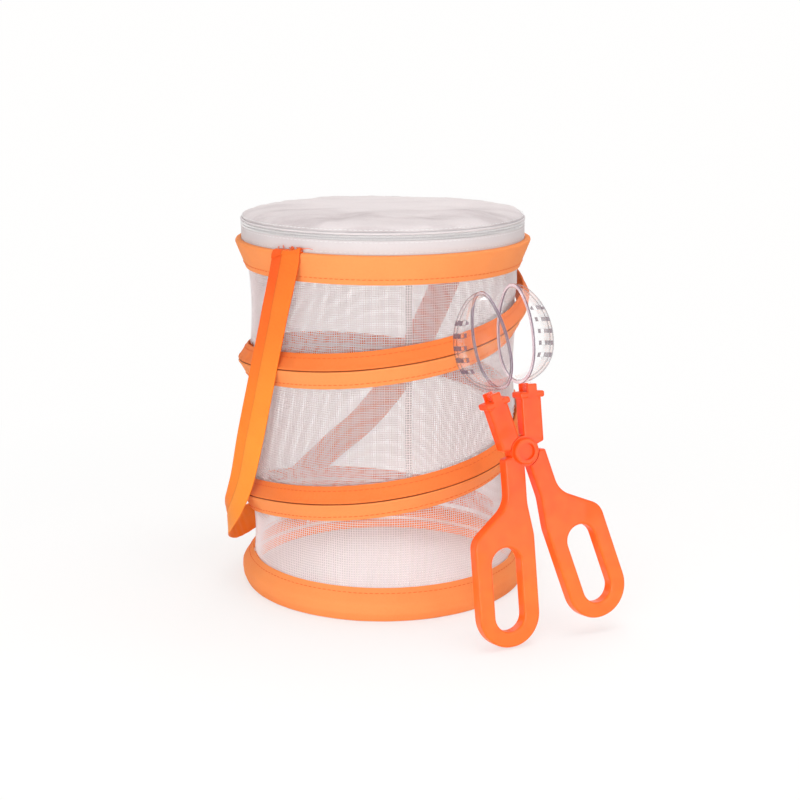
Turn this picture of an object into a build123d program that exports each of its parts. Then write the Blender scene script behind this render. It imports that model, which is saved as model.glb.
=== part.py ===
from build123d import *
import math
import os

# Pop-up mesh insect cage with a zipped lid and a shoulder strap, and the catching tongs that lean beside it.
# Millimetres. The origin is the middle of the base on the floor, +Z is up and -Y is the front.
# An azimuth is measured in degrees from the front, positive towards +X.

os.makedirs("parts", exist_ok=True)

# Rings and bands of the cage
ring_radius = 75.0
band_thickness = 0.8
band_fall = 5.4
wire_diameter = 1.8
wire_inset = 1.8
base_wire_inset = 1.2
spiral_wire_inset = 2.5
sleeve_fold = 1.1
sewn_gap = 0.3
piece_gap = 0.1
sliding_gap = 0.3

# Base ring, from the floor up
base_band_height = 16.5
base_ridge_height = 4.8
base_shoulder = 0.8
base_shoulder_height = 9.5
base_foot_inset = 1.8
base_foot_width = 2.2
floor_thickness = 0.8

# Mesh wall between the two bands
wall_height = 149.5
wall_thickness = 0.4
wall_tuck = 1.0
net_columns = 24
net_rows = 12
net_bar = 2.0
seam_azimuth = 168.0
seam_width = 9.0
seam_thickness = 0.5

# Rim ring
rim_band_height = 13.5
rim_top_rise = 0.8
rim_lip_inset = 3.1
rim_lip_round = 0.9

# Spiral sleeve and its wire: the ridge's height at each azimuth, as a share of the wall height
spiral_top_azimuth = 112.0
spiral_step = 60.0
spiral_shares = (0.829, 0.7425, 0.698, 0.6555, 0.602, 0.525, 0.3946, 0.3064, 0.2428, 0.1438, 0.0756)
spiral_top_share = 0.98
spiral_bottom_azimuth = -600.0
spiral_bottom_share = 0.026
sleeve_upper_leg = 8.0
sleeve_lower_leg = 9.5
sleeve_end_leg = 2.2
sleeve_end_taper = 80.0
sleeve_section_step = 10.0

# Gusset, zip and lid
gusset_inset = 3.4
gusset_height = 6.1
gusset_thickness = 0.6
gusset_rise = 0.5
tape_thickness = 0.6
tape_height = 3.4
lid_tape_height = 2.2
coil_bead = 1.1
coil_gap = 0.3
zip_half_arc = 160.0
piping_bead = 1.2
lid_rise = 4.6
lid_shoulder_width = 10.0
lid_sag = 0.4
lid_thickness = 0.6
lid_edge_part = 0.3
lid_edge_rise = 0.42
lid_haunch_part = 0.6
lid_haunch_rise = 0.68
lid_shoulder_rise = 0.82
lid_crown_part = 0.75
lid_dip_part = 0.35
lid_dip_sag = 0.6
hinge_tape_end_gap = 3.0
hinge_tape_height = 3.4
stop_size = 2.4
stop_inset = 1.0

# Zip slider and pull
slider_from_stop = 10.0
slider_length = 8.0
slider_height = 5.3
slider_thickness = 1.8
slider_round = 1.2
slider_drop = 0.95
lug_gap = 2.6
lug_width = 1.0
lug_height = 2.4
lug_round = 0.9
pull_reach = 5.0
pull_pin_diameter = 1.0
pull_pin_clearance = 0.15
pull_eye_wall = 0.6
pull_width = 5.2
pull_thickness = 1.0
pull_length = 16.0
pull_neck = 2.0
pull_neck_length = 2.4
pull_round = 1.5

# Shoulder strap
strap_width = 16.0
strap_thickness = 0.8
strap_clearance = 0.3
strap_end_inset = 2.6
strap_end_azimuth = -35.0
strap_far_azimuth = -216.0
strap_bulge = 6.2
strap_turn_drop = 3.0

# Way of the strap between the rim's two sides: azimuth, share of the bulge, share of the rim's height
strap_way = (
    (-36.4, 0.015, 0.932),
    (-39.0, 0.03, 0.854),
    (-42.0, 0.05, 0.765),
    (-47.5, 0.13, 0.621),
    (-54.5, 0.225, 0.471),
    (-60.5, 0.42, 0.344),
    (-65.5, 0.68, 0.255),
    (-70.5, 0.905, 0.191),
    (-77.5, 1.0, 0.155),
    (-87.0, 0.87, 0.144),
    (-100.0, 0.61, 0.1525),
    (-120.0, 0.355, 0.18),
    (-140.0, 0.195, 0.222),
    (-156.0, 0.13, 0.272),
    (-172.0, 0.095, 0.366),
    (-187.0, 0.08, 0.51),
    (-197.0, 0.065, 0.654),
    (-206.0, 0.05, 0.799),
    (-213.6, 0.015, 0.932),
)

# Catching tongs
tongs_azimuth = 24.0
tongs_side = 26.2
tongs_lean = 10.4
tongs_clearance = 0.3
tongs_open = 16.3
lever_thickness = 7.0
lever_round = 1.2
arm_width = 10.3
arm_gap = 0.6
arm_length = 27.6
arm_stop_height = 4.0
arm_round = 1.0
handle_stop_depth = 3.0
eye_radius = 7.2
eye_clearance = 0.4
lap_gap = 0.3
handle_length = 91.0
handle_out = 29.0
handle_in = 2.2
handle_shoulder = 39.5
handle_neck = 24.5
handle_outer_round = 12.0
handle_shoulder_round = 9.0
handle_inner_round = 20.0
finger_hole_width = 15.2
finger_hole_length = 39.7
finger_wall = 7.3
collar_lip = 1.2
collar_height = 3.0
collar_round = 0.95
tab_width = 4.6
tab_height = 3.6
tab_thickness = 1.6
tab_round = 0.55
pivot_pin_radius = 2.5
pivot_fit = 0.1
pivot_head_radius = 6.2
pivot_head_height = 2.2
pivot_head_round = 0.8
pivot_recess_radius = 4.0
pivot_recess_depth = 1.4
pivot_back_radius = 5.0
pivot_back_height = 1.5

# Clear scoops
scoop_radius = 18.0
scoop_wall = 1.4
scoop_foot_gap = 3.9
scoop_foot_height = 18.5
scoop_tip_height = 28.3
scoop_rim_gap = 0.4
scoop_play = 8.0
stem_width = 3.2
stem_depth = 3.8
stem_length = 7.0
stem_rise = 1.1
stem_clearance = 0.2
vent_rows = 5
vent_pitch = 5.6
vent_start = 12.3
vent_side = 3.4
vent_width = 4.2
vent_height = 2.0

# Levels and radii that follow from the sizes above
band_edge_radius = ring_radius - band_fall
wall_radius = band_edge_radius - band_thickness - sewn_gap
wire_radius = wire_diameter / 2
hoop_radius = ring_radius - wire_inset - wire_radius
base_hoop_radius = ring_radius - base_wire_inset - wire_radius
spiral_wire_line = ring_radius - spiral_wire_inset - wire_radius
rim_bottom = base_band_height + wall_height
rim_ridge = rim_bottom + rim_band_height
rim_top = rim_ridge + rim_top_rise
gusset_radius = ring_radius - gusset_inset
gusset_bottom = rim_top + gusset_rise
zip_level = gusset_bottom + gusset_height + coil_bead + coil_gap / 2
coil_radius = gusset_radius - tape_thickness / 2
lower_coil_height = zip_level - coil_gap / 2 - coil_bead / 2
upper_coil_height = zip_level + coil_gap / 2 + coil_bead / 2
piping_height = upper_coil_height + coil_bead / 2 + piping_bead / 2 + piece_gap
lid_bottom = piping_height + piping_bead / 2 + piece_gap
slider_azimuth = slider_from_stop - zip_half_arc
hinge_tape_half_arc = 180.0 - zip_half_arc - hinge_tape_end_gap
scoop_base = arm_length + scoop_foot_gap
scoop_widest = scoop_base + scoop_foot_height
scoop_tip = scoop_widest + scoop_tip_height


def polar(radius, azimuth, height):
    """Point at a radius, azimuth and height of the cage."""
    angle = math.radians(azimuth)
    return Vector(radius * math.sin(angle), -radius * math.cos(angle), height)


def save(name, shape):
    """Writes one sub-part."""
    export_step(shape, f"parts/{name}.step")


def turned(face, azimuth_from=-180.0, azimuth_to=180.0):
    """Turns a face in the XZ plane about the cage's axis, between two azimuths."""
    sweep_angle = azimuth_to - azimuth_from
    solid = revolve(face, Axis.Z, revolution_arc=sweep_angle)
    return Rot(0, 0, azimuth_from - 90.0) * solid


def outline(points):
    """Closed face in the XZ plane through (radius, height) points."""
    corners = [Vector(radius, 0, height) for radius, height in points]
    return make_face(Polyline(*corners, close=True))


def folded_strip(points, thickness):
    """Closed outline of a thin strip whose outer face follows the points, with its thickness on the right."""
    normals = []
    for start, end in zip(points, points[1:]):
        along = (end[0] - start[0], end[1] - start[1])
        length = math.hypot(*along)
        normals.append((-along[1] / length, along[0] / length))
    inner = []
    for index, point in enumerate(points):
        before = normals[max(index - 1, 0)]
        after = normals[min(index, len(normals) - 1)]
        scale = thickness / (1 + before[0] * after[0] + before[1] * after[1])
        inner.append((point[0] + (before[0] + after[0]) * scale, point[1] + (before[1] + after[1]) * scale))
    return outline(points + inner[::-1])


def hoop(radius, height, bead):
    """Closed round wire ring."""
    return Pos(0, 0, height) * Torus(radius, bead / 2)


def bead_arc(radius, height, bead, azimuth_from, azimuth_to):
    """Round bead along part of a ring."""
    section = Pos(radius, 0, height) * (Plane.XZ * Circle(bead / 2))
    return turned(section, azimuth_from, azimuth_to)


def base_parts():
    """Base ring: folded band, its wire hoop and the fabric floor."""
    foot_radius = ring_radius - base_foot_inset
    band = [
        (foot_radius - base_foot_width, 0),
        (foot_radius, 0),
        (ring_radius, base_ridge_height),
        (ring_radius - base_shoulder, base_shoulder_height),
        (band_edge_radius, base_band_height),
    ]
    save("base_band", turned(folded_strip(band, band_thickness)))
    save("base_hoop", hoop(base_hoop_radius, base_ridge_height + wire_radius, wire_diameter))
    floor_radius = foot_radius - base_foot_width - sewn_gap
    save("base_floor", Pos(0, 0, floor_thickness / 2) * Cylinder(floor_radius, floor_thickness))


def wall_parts():
    """Mesh wall and the binding tape over its side seam."""
    bottom = base_band_height - wall_tuck
    top = rim_bottom + wall_tuck
    wall = [
        (wall_radius - wall_thickness, bottom),
        (wall_radius, bottom),
        (wall_radius, top),
        (wall_radius - wall_thickness, top),
    ]
    save("wall_mesh", turned(outline(wall)) - net_openings())
    tape_outer = wall_radius - wall_thickness - sewn_gap
    half_arc = math.degrees(seam_width / 2 / tape_outer)
    tape = [
        (tape_outer - seam_thickness, bottom + wall_tuck),
        (tape_outer, bottom + wall_tuck),
        (tape_outer, top - wall_tuck),
        (tape_outer - seam_thickness, top - wall_tuck),
    ]
    save("side_seam_tape", turned(outline(tape), seam_azimuth - half_arc, seam_azimuth + half_arc))


def net_openings():
    """Cutters of the plain grid of openings that stands for the fine mesh."""
    column_turn = 360.0 / net_columns
    row_pitch = (wall_height - net_bar) / net_rows
    width = 2 * math.pi * wall_radius / net_columns - net_bar
    cutter = Box(width, 4 * wall_thickness, row_pitch - net_bar)
    cutters = []
    for row in range(net_rows):
        height = base_band_height + net_bar / 2 + (row + 0.5) * row_pitch
        for column in range(net_columns):
            cutters.append(Rot(0, 0, column * column_turn) * Pos(0, -wall_radius, height) * cutter)
    return cutters


def spiral_knots():
    """Azimuth and height of the ridge at the places it passes, from the top down."""
    knots = [(spiral_top_azimuth, spiral_top_share)]
    for index, share in enumerate(spiral_shares):
        knots.append((spiral_step - index * spiral_step, share))
    knots.append((spiral_bottom_azimuth, spiral_bottom_share))
    return [(azimuth, base_band_height + share * wall_height) for azimuth, share in knots]


def spiral_height(azimuth):
    """Height of the spiral's ridge, a smooth line through its knots."""
    knots = spiral_knots()
    last = len(knots) - 1
    slopes = []
    for index in range(last + 1):
        before = knots[max(index - 1, 0)]
        after = knots[min(index + 1, last)]
        slopes.append((after[1] - before[1]) / (after[0] - before[0]))
    index = 0
    while index < last - 1 and azimuth < knots[index + 1][0]:
        index += 1
    start, end = knots[index], knots[index + 1]
    span = end[0] - start[0]
    part = (azimuth - start[0]) / span
    rise = 3 * part**2 - 2 * part**3
    return (
        start[1] * (1 - rise)
        + end[1] * rise
        + slopes[index] * span * (part**3 - 2 * part**2 + part)
        + slopes[index + 1] * span * (part**3 - part**2)
    )


def spiral_frame(azimuth, radius):
    """Point on the spiral and the direction it runs in there."""
    step = 0.5
    point = polar(radius, azimuth, spiral_height(azimuth))
    ahead = polar(radius, azimuth - step, spiral_height(azimuth - step))
    behind = polar(radius, azimuth + step, spiral_height(azimuth + step))
    return point, (ahead - behind).normalized()


def biarc(start, start_way, end, end_way):
    """Two arcs from start to end that keep both directions."""
    reach = end - start
    both = start_way + end_way
    spread = 2 * (1 - start_way.dot(end_way))
    along = reach.dot(both)
    handle = (-along + math.sqrt(along**2 + spread * reach.dot(reach))) / spread
    middle = (start + end + (start_way - end_way) * handle) * 0.5
    first = TangentArc(start, middle, tangent=start_way)
    second = TangentArc(end, middle, tangent=end_way * -1)
    return first, second


def spiral_parts():
    """Spring wire of the spiral and the folded sleeve that it runs in."""
    quarter = 90.0
    span = spiral_top_azimuth - spiral_bottom_azimuth
    count = math.ceil(span / quarter)
    stations = [spiral_top_azimuth - span * index / count for index in range(count + 1)]
    arcs = []
    for start, end in zip(stations, stations[1:]):
        arcs += biarc(*spiral_frame(start, spiral_wire_line), *spiral_frame(end, spiral_wire_line))
    path = Wire(arcs)
    start, way = spiral_frame(spiral_top_azimuth, spiral_wire_line)
    section = Plane(origin=start, z_dir=way) * Circle(wire_radius)
    wire = sweep(section, path=path)
    save("spiral_wire", wire)
    drops = [
        spiral_height(azimuth) - spiral_height(azimuth - 360.0)
        for azimuth in range(int(spiral_bottom_azimuth) + 360, int(spiral_top_azimuth))
    ]
    print("spiral wire, least gap between turns", round(min(drops) - wire_diameter, 1))

    sections = []
    sleeve_count = math.ceil(span / sleeve_section_step)
    for index in range(sleeve_count + 1):
        azimuth = spiral_top_azimuth - span * index / sleeve_count
        upper = sleeve_leg(sleeve_upper_leg, spiral_top_azimuth - azimuth)
        lower = sleeve_leg(sleeve_lower_leg, azimuth - spiral_bottom_azimuth)
        sections.append(sleeve_section(azimuth, upper, lower))
    save("spiral_sleeve", Solid.make_loft(sections, ruled=True))


def sleeve_leg(full, from_end):
    """Height of one leg of the sleeve, drawn in where the spiral runs into a ring."""
    part = min(from_end / sleeve_end_taper, 1.0)
    return sleeve_end_leg + (full - sleeve_end_leg) * math.sin(part * math.pi / 2)


def sleeve_section(azimuth, upper, lower):
    """Closed wire of the sleeve's folded section, upright and square to the radius."""
    ridge = spiral_height(azimuth)
    upper_edge = ring_radius - band_fall * upper / sleeve_upper_leg
    lower_edge = ring_radius - band_fall * lower / sleeve_lower_leg
    corners = [
        (upper_edge, ridge + upper),
        (ring_radius, ridge),
        (lower_edge, ridge - lower),
        (lower_edge - band_thickness, ridge - lower),
        (ring_radius - sleeve_fold, ridge),
        (upper_edge - band_thickness, ridge + upper),
    ]
    return Wire.make_polygon([polar(radius, azimuth, height) for radius, height in corners], close=True)


def rim_parts():
    """Rim ring: folded band, its wire hoop, the white gusset and the lower half of the zip."""
    band = [
        (band_edge_radius, rim_bottom),
        (ring_radius, rim_ridge),
        (ring_radius - rim_lip_round, rim_top),
        (ring_radius - rim_lip_inset, rim_top),
    ]
    save("rim_band", turned(folded_strip(band, band_thickness)))
    save("rim_hoop", hoop(hoop_radius, rim_ridge - wire_diameter, wire_diameter))
    gusset_top = gusset_bottom + gusset_height
    gusset = [
        (gusset_radius - gusset_thickness, gusset_bottom),
        (gusset_radius, gusset_bottom),
        (gusset_radius, gusset_top),
        (gusset_radius - gusset_thickness, gusset_top),
    ]
    save("lid_gusset", turned(outline(gusset)))
    tape_outer = gusset_radius - gusset_thickness - sewn_gap / 2
    save("zip_tape_lower", turned(tape_outline(tape_outer, gusset_top - tape_height, tape_height)))
    save("zip_coil_lower", bead_arc(coil_radius, lower_coil_height, coil_bead, -zip_half_arc, zip_half_arc))


def tape_outline(outer, bottom, height):
    """Section of a zip tape."""
    return outline([
        (outer - tape_thickness, bottom),
        (outer, bottom),
        (outer, bottom + height),
        (outer - tape_thickness, bottom + height),
    ])


def lid_parts():
    """Lid: puffed panel, piping, upper half of the zip, and the tape and stops at its back."""
    save("zip_coil_upper", bead_arc(coil_radius, upper_coil_height, coil_bead, -zip_half_arc, zip_half_arc))
    tape_outer = coil_radius - coil_bead / 2 - sewn_gap
    tape_bottom = upper_coil_height - coil_bead / 2
    save("zip_tape_upper", turned(tape_outline(tape_outer, tape_bottom, lid_tape_height)))
    save("lid_piping", hoop(coil_radius, piping_height, piping_bead))
    shoulder = gusset_radius - lid_shoulder_width
    top = lid_bottom + lid_rise
    edge = gusset_radius - lid_shoulder_width * lid_edge_part
    haunch = gusset_radius - lid_shoulder_width * lid_haunch_part
    panel = [
        (gusset_radius - lid_thickness, lid_bottom),
        (edge, lid_bottom + lid_rise * lid_edge_rise),
        (haunch, lid_bottom + lid_rise * lid_haunch_rise),
        (shoulder, lid_bottom + lid_rise * lid_shoulder_rise),
        (shoulder * lid_crown_part, top),
        (shoulder * lid_dip_part, top - lid_sag * lid_dip_sag),
        (0, top - lid_sag),
    ]
    inner = [(radius, height - lid_thickness) for radius, height in panel[2:]]
    inner.insert(0, (edge - lid_thickness, lid_bottom + lid_rise * lid_edge_rise))
    inner.insert(0, (gusset_radius - 2 * lid_thickness, lid_bottom))
    inner[2] = (haunch - lid_thickness, inner[2][1])
    outer_line = Spline(*[Vector(radius, 0, height) for radius, height in panel])
    inner_line = Spline(*[Vector(radius, 0, height) for radius, height in inner])
    foot = Line(outer_line @ 0, inner_line @ 0)
    axis_line = Line(outer_line @ 1, inner_line @ 1)
    save("lid_panel", turned(make_face([outer_line, inner_line, foot, axis_line])))
    tape_radius = gusset_radius + sewn_gap
    tape_top = zip_level - coil_gap / 2
    tape = [
        (tape_radius, tape_top - hinge_tape_height),
        (tape_radius + tape_thickness, tape_top - hinge_tape_height),
        (tape_radius + tape_thickness, tape_top),
        (tape_radius, tape_top),
    ]
    save("lid_hinge_tape", turned(outline(tape), 180.0 - hinge_tape_half_arc, 180.0 + hinge_tape_half_arc))
    stops = []
    for side in (-1, 1):
        place = Rot(0, 0, side * (zip_half_arc - stop_inset)) * Pos(0, -coil_radius - coil_bead / 2 - stop_size / 4, 0)
        block = Pos(0, 0, lower_coil_height) * Box(stop_size, stop_size / 2, coil_bead)
        stops.append(place * block)
    save("zip_end_stops", Compound(children=stops))


def slider_parts():
    """Zip slider with its lugs and pin, and the pull that swings on it."""
    place = Rot(0, 0, slider_azimuth)
    inner = coil_radius + coil_bead / 2 + sliding_gap
    outer = inner + slider_thickness
    middle = zip_level - slider_drop
    plate = Pos(0, -(inner + outer) / 2, middle) * Box(slider_length, slider_thickness, slider_height)
    plate = fillet(plate.edges().filter_by(Axis.Y), slider_round)
    tip = inner + pull_reach
    lug_side = lug_gap / 2 + lug_width / 2
    lugs = []
    for side in (-1, 1):
        length = tip + lug_height / 2 - outer
        block = Pos(side * lug_side, -(outer + length / 2), middle) * Box(lug_width, length, lug_height)
        lugs.append(fillet(block.edges().filter_by(Axis.X).group_by(Axis.Y)[0], lug_round))
    pin = Pos(0, -tip, middle) * (Rot(0, 90, 0) * Cylinder(pull_pin_diameter / 2, lug_gap + lug_width))
    save("zip_slider", place * (plate + lugs + pin))

    bore_radius = pull_pin_diameter / 2 + pull_pin_clearance
    pull_eye_radius = bore_radius + pull_eye_wall
    eye = Pos(0, -tip, middle) * (Rot(0, 90, 0) * Cylinder(pull_eye_radius, pull_neck))
    neck_length = pull_eye_radius + pull_neck_length
    neck = Pos(0, -tip, middle - neck_length / 2) * Box(pull_neck, pull_thickness, neck_length)
    blade_top = middle - neck_length
    blade_length = pull_length - neck_length
    blade = Pos(0, -tip, blade_top - blade_length / 2) * Box(pull_width, pull_thickness, blade_length)
    blade = fillet(blade.edges().filter_by(Axis.Y), pull_round)
    bore = Pos(0, -tip, middle) * (Rot(0, 90, 0) * Cylinder(bore_radius, 2 * pull_neck))
    save("zip_pull", place * ((eye + neck + blade) - bore))
    print("slider pin at", [round(value, 2) for value in polar(tip, slider_azimuth, middle)])


def strap_route():
    """Middle line of the strap from its front-left end down, round the back and up to the other end."""
    outside = ring_radius + strap_clearance + strap_thickness / 2
    on_rim = rim_top + strap_clearance + strap_thickness / 2
    fold = [
        (ring_radius - strap_end_inset, on_rim),
        (ring_radius - strap_clearance - piece_gap, on_rim),
        (outside - piece_gap, on_rim - strap_thickness),
        (outside, on_rim - strap_turn_drop),
    ]
    route = [(strap_end_azimuth, radius, height) for radius, height in fold]
    for azimuth, bulge, height in strap_way:
        route.append((azimuth, outside + bulge * strap_bulge, height * rim_top))
    route += [(strap_far_azimuth, radius, height) for radius, height in fold[::-1]]
    return route


def strap_part():
    """Flat ribbon that faces the cage all the way."""
    points = [polar(radius, azimuth, height) for azimuth, radius, height in strap_route()]
    last = len(points) - 1
    sections = []
    for index, point in enumerate(points):
        along = (points[min(index + 1, last)] - points[max(index - 1, 0)]).normalized()
        outward = Vector(point.X, point.Y, 0).normalized()
        facing = Vector(0, 0, 1) if abs(along.dot(outward)) > 0.7 else outward
        across = along.cross(facing).normalized()
        face_way = across.cross(along).normalized()
        side = across * (strap_width / 2)
        depth = face_way * (strap_thickness / 2)
        corners = [point + side + depth, point - side + depth, point - side - depth, point + side - depth]
        sections.append(Wire.make_polygon(corners, close=True))
    save("carry_strap", Solid.make_loft(sections, ruled=True))


def rounded_face(corners):
    """Face through (x, y, radius) corners, each rounded by its radius."""
    count = len(corners)
    edges = []
    exits = []
    entries = []
    for index, (x, y, radius) in enumerate(corners):
        here = Vector(x, y, 0)
        before = Vector(*corners[index - 1][:2], 0) - here
        after = Vector(*corners[(index + 1) % count][:2], 0) - here
        half = math.radians(before.get_angle(after)) / 2
        back = radius / math.tan(half)
        entry = here + before.normalized() * back
        exit_point = here + after.normalized() * back
        entries.append(entry)
        exits.append(exit_point)
        if radius > 0:
            bisector = (before.normalized() + after.normalized()).normalized()
            middle = here + bisector * (radius / math.sin(half) - radius)
            edges.append(ThreePointArc(entry, middle, exit_point))
    for index in range(count):
        start, end = exits[index], entries[(index + 1) % count]
        if (end - start).length > 1e-6:
            edges.append(Line(start, end))
    return make_face(edges)


def lever_blank():
    """One lever with its arm on the right above the pivot and its finger loop on the left below it."""
    inner = arm_gap / 2
    outer = inner + arm_width
    hole_middle = -handle_length + finger_wall + finger_hole_length / 2
    hole_side = (handle_in - handle_out) / 2
    loop_radius = (handle_in + handle_out) / 2 - arm_gap / 2
    handle = rounded_face([
        (-inner, 0.0, 0.0),
        (-outer, -handle_stop_depth, arm_round),
        (-outer, -handle_neck, handle_outer_round),
        (-handle_out, -handle_shoulder, handle_shoulder_round),
        (-handle_out, -handle_length, loop_radius),
        (handle_in, -handle_length, loop_radius),
        (handle_in, -handle_shoulder, handle_inner_round),
        (-inner, -handle_neck, handle_inner_round),
    ])
    arm = rounded_face([
        (inner, 0.0, 0.0),
        (outer, arm_stop_height, arm_round),
        (outer, arm_length, 0.0),
        (inner, arm_length, 0.0),
    ])
    hole = Pos(hole_side, hole_middle) * SlotOverall(finger_hole_length, finger_hole_width, rotation=90)
    half = lever_thickness / 2
    handle_solid = extrude(handle - hole, amount=half, both=True)
    arm_solid = extrude(arm, amount=half, both=True)
    rims = [edge for edge in handle_solid.edges() if abs(abs(edge.center().Z) - half) < 0.01]
    handle_solid = fillet(rims, lever_round)
    sides = [
        edge
        for edge in arm_solid.edges().filter_by(Axis.Y)
        if abs(abs(edge.center().Z) - half) < 0.01
    ]
    arm_solid = fillet(sides, lever_round)
    return handle_solid + arm_solid


def lever(front):
    """One lever: the front one keeps the front half of its eye, the other the back half."""
    half = lever_thickness / 2
    way = 1 if front else -1
    eye_height = half - lap_gap / 2
    blank = lever_blank()
    pocket_radius = eye_radius + eye_clearance
    pocket = Pos(0, 0, -way * half) * Cylinder(pocket_radius, lever_thickness + lap_gap)
    eye = Pos(0, 0, way * (lap_gap / 2 + eye_height / 2)) * Cylinder(eye_radius, eye_height)
    arm_middle = arm_gap / 2 + arm_width / 2
    collar_size = arm_width + 2 * collar_lip
    collar = Pos(arm_middle, arm_length - collar_height / 2, 0) * Box(
        collar_size, collar_height, lever_thickness + 2 * collar_lip
    )
    collar = fillet(collar.edges(), collar_round)
    tabs = []
    for side in (-1, 1):
        shift = side * (lever_thickness / 2 + collar_lip - tab_thickness / 2)
        tab = Pos(arm_middle, arm_length + (tab_height - collar_height) / 2, shift) * Box(
            tab_width, tab_height + collar_height, tab_thickness
        )
        tabs.append(fillet(tab.edges().group_by(Axis.Y)[-1], tab_round))
    socket = Pos(arm_middle, arm_length, 0) * Box(
        stem_width + 2 * stem_clearance, 2 * stem_length, stem_depth + 2 * stem_clearance
    )
    bore = Cylinder(pivot_pin_radius + (pivot_fit if front else 2 * pivot_fit), 3 * lever_thickness)
    return (blank - pocket + eye + collar + tabs) - socket - bore


def egg_point(grow, angle):
    """Point of the egg's outline, grown by an amount, at an angle from its widest height."""
    turn = math.radians(angle)
    rise = (scoop_tip if angle > 0 else scoop_base) - scoop_widest
    rise += grow if angle > 0 else -grow
    return Vector((scoop_radius + grow) * math.cos(turn), scoop_widest + abs(math.sin(turn)) * rise, 0)


def egg_line(grow):
    """Half outline of the egg from its foot to its tip, in three arcs."""
    return [
        ThreePointArc(*[egg_point(grow, angle) for angle in angles])
        for angles in ((-90, -45, 0), (0, 35, 65), (65, 78, 90))
    ]


def scoop():
    """Clear half-egg scoop in a lever's own frame: its rim faces the other lever."""
    outer = egg_line(0)
    inner = egg_line(-scoop_wall)
    foot = Line(outer[0] @ 0, inner[0] @ 0)
    tip = Line(outer[-1] @ 1, inner[-1] @ 1)
    shell = revolve(make_face([*outer, *inner, foot, tip]), Axis.Y, revolution_arc=180)
    for row in range(vent_rows):
        for side in (-1, 1):
            height = scoop_base + vent_start + row * vent_pitch
            shell -= Pos(side * vent_side, height, -scoop_radius) * Box(vent_width, vent_height, scoop_radius)
    return Pos(scoop_rim_gap, 0, 0) * (Rot(0, -90, 0) * shell)


def tongs_parts():
    """Both levers, the pivot pin and the scoops, leaning beside the cage."""
    lean = math.radians(tongs_lean)
    radial = polar(1.0, tongs_azimuth, 0)
    sideways = polar(1.0, tongs_azimuth + 90.0, 0)
    normal = radial * math.cos(lean) + Vector(0, 0, 1) * math.sin(lean)
    standoff = (
        ring_radius
        + tongs_clearance
        + scoop_radius / math.cos(lean)
        + scoop_widest * math.sin(lean)
    )
    half = lever_thickness / 2
    pivot_height = (
        (handle_length - lever_round) * math.cos(lean) + (half - lever_round) * math.sin(lean) + lever_round
    )
    pivot = radial * standoff + sideways * tongs_side + Vector(0, 0, pivot_height)
    place = Location(Plane(origin=pivot, x_dir=sideways, z_dir=normal))
    opened = Rot(0, 0, tongs_open)
    flip = Plane.YZ
    save("tong_lever_right", place * lever(True))
    save("tong_lever_left", place * (opened * mirror(lever(False), flip)))
    arm_middle = arm_gap / 2 + arm_width / 2
    stem_top = scoop_base + stem_rise
    stem_middle = (arm_length - stem_length + stem_top) / 2
    stem = Pos(arm_middle, stem_middle, 0) * Box(stem_width, stem_length + stem_top - arm_length, stem_depth)
    bowl = scoop()
    save("tong_scoop_right", place * (bowl + stem))
    play = Pos(arm_middle, arm_length) * Rot(0, 0, scoop_play) * Pos(-arm_middle, -arm_length)
    save("tong_scoop_left", place * (opened * mirror(play * bowl + stem, flip)))
    head = Pos(0, 0, half + pivot_head_height / 2) * Cylinder(pivot_head_radius, pivot_head_height)
    head = fillet(head.edges().group_by(Axis.Z)[-1], pivot_head_round)
    recess = Pos(0, 0, half + pivot_head_height - pivot_recess_depth / 2) * Cylinder(
        pivot_recess_radius, pivot_recess_depth
    )
    shaft = Pos(0, 0, -pivot_fit / 2) * Cylinder(pivot_pin_radius, lever_thickness + pivot_fit)
    back = Pos(0, 0, -half - pivot_fit - pivot_back_height / 2) * Cylinder(pivot_back_radius, pivot_back_height)
    save("tong_pivot_pin", place * (head - recess + shaft + back))
    print("tongs pivot at", [round(value, 2) for value in pivot], "axis", [round(value, 5) for value in normal])


base_parts()
wall_parts()
spiral_parts()
rim_parts()
lid_parts()
slider_parts()
strap_part()
tongs_parts()
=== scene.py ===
"""Looks of a pop-up mesh insect cage with a spiral spring wall, and of the catching tongs that lean beside it."""

from __future__ import annotations

import logging
import math
from abc import ABC, abstractmethod
from dataclasses import dataclass
from enum import Enum
from typing import Any, Callable, Sequence

import bmesh
import bpy
import numpy as np
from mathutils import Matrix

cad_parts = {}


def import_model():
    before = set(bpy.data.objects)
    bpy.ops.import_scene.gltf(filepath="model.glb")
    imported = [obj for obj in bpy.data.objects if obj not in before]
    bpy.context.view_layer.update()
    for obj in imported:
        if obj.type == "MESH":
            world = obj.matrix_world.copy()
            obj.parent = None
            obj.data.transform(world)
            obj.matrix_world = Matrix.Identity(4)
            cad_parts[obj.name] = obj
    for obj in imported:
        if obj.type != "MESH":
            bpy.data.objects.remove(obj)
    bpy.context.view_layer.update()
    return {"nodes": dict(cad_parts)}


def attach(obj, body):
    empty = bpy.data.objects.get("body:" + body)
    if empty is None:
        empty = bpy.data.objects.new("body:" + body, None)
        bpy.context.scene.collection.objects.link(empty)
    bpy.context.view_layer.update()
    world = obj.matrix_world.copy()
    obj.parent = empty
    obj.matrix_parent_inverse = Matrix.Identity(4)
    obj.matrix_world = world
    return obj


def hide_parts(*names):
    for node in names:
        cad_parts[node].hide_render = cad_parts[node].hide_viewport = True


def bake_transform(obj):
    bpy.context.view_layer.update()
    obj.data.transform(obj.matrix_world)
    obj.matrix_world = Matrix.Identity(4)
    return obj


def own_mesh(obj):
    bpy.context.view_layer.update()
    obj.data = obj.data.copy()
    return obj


log = logging.getLogger("insect_cage")

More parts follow.
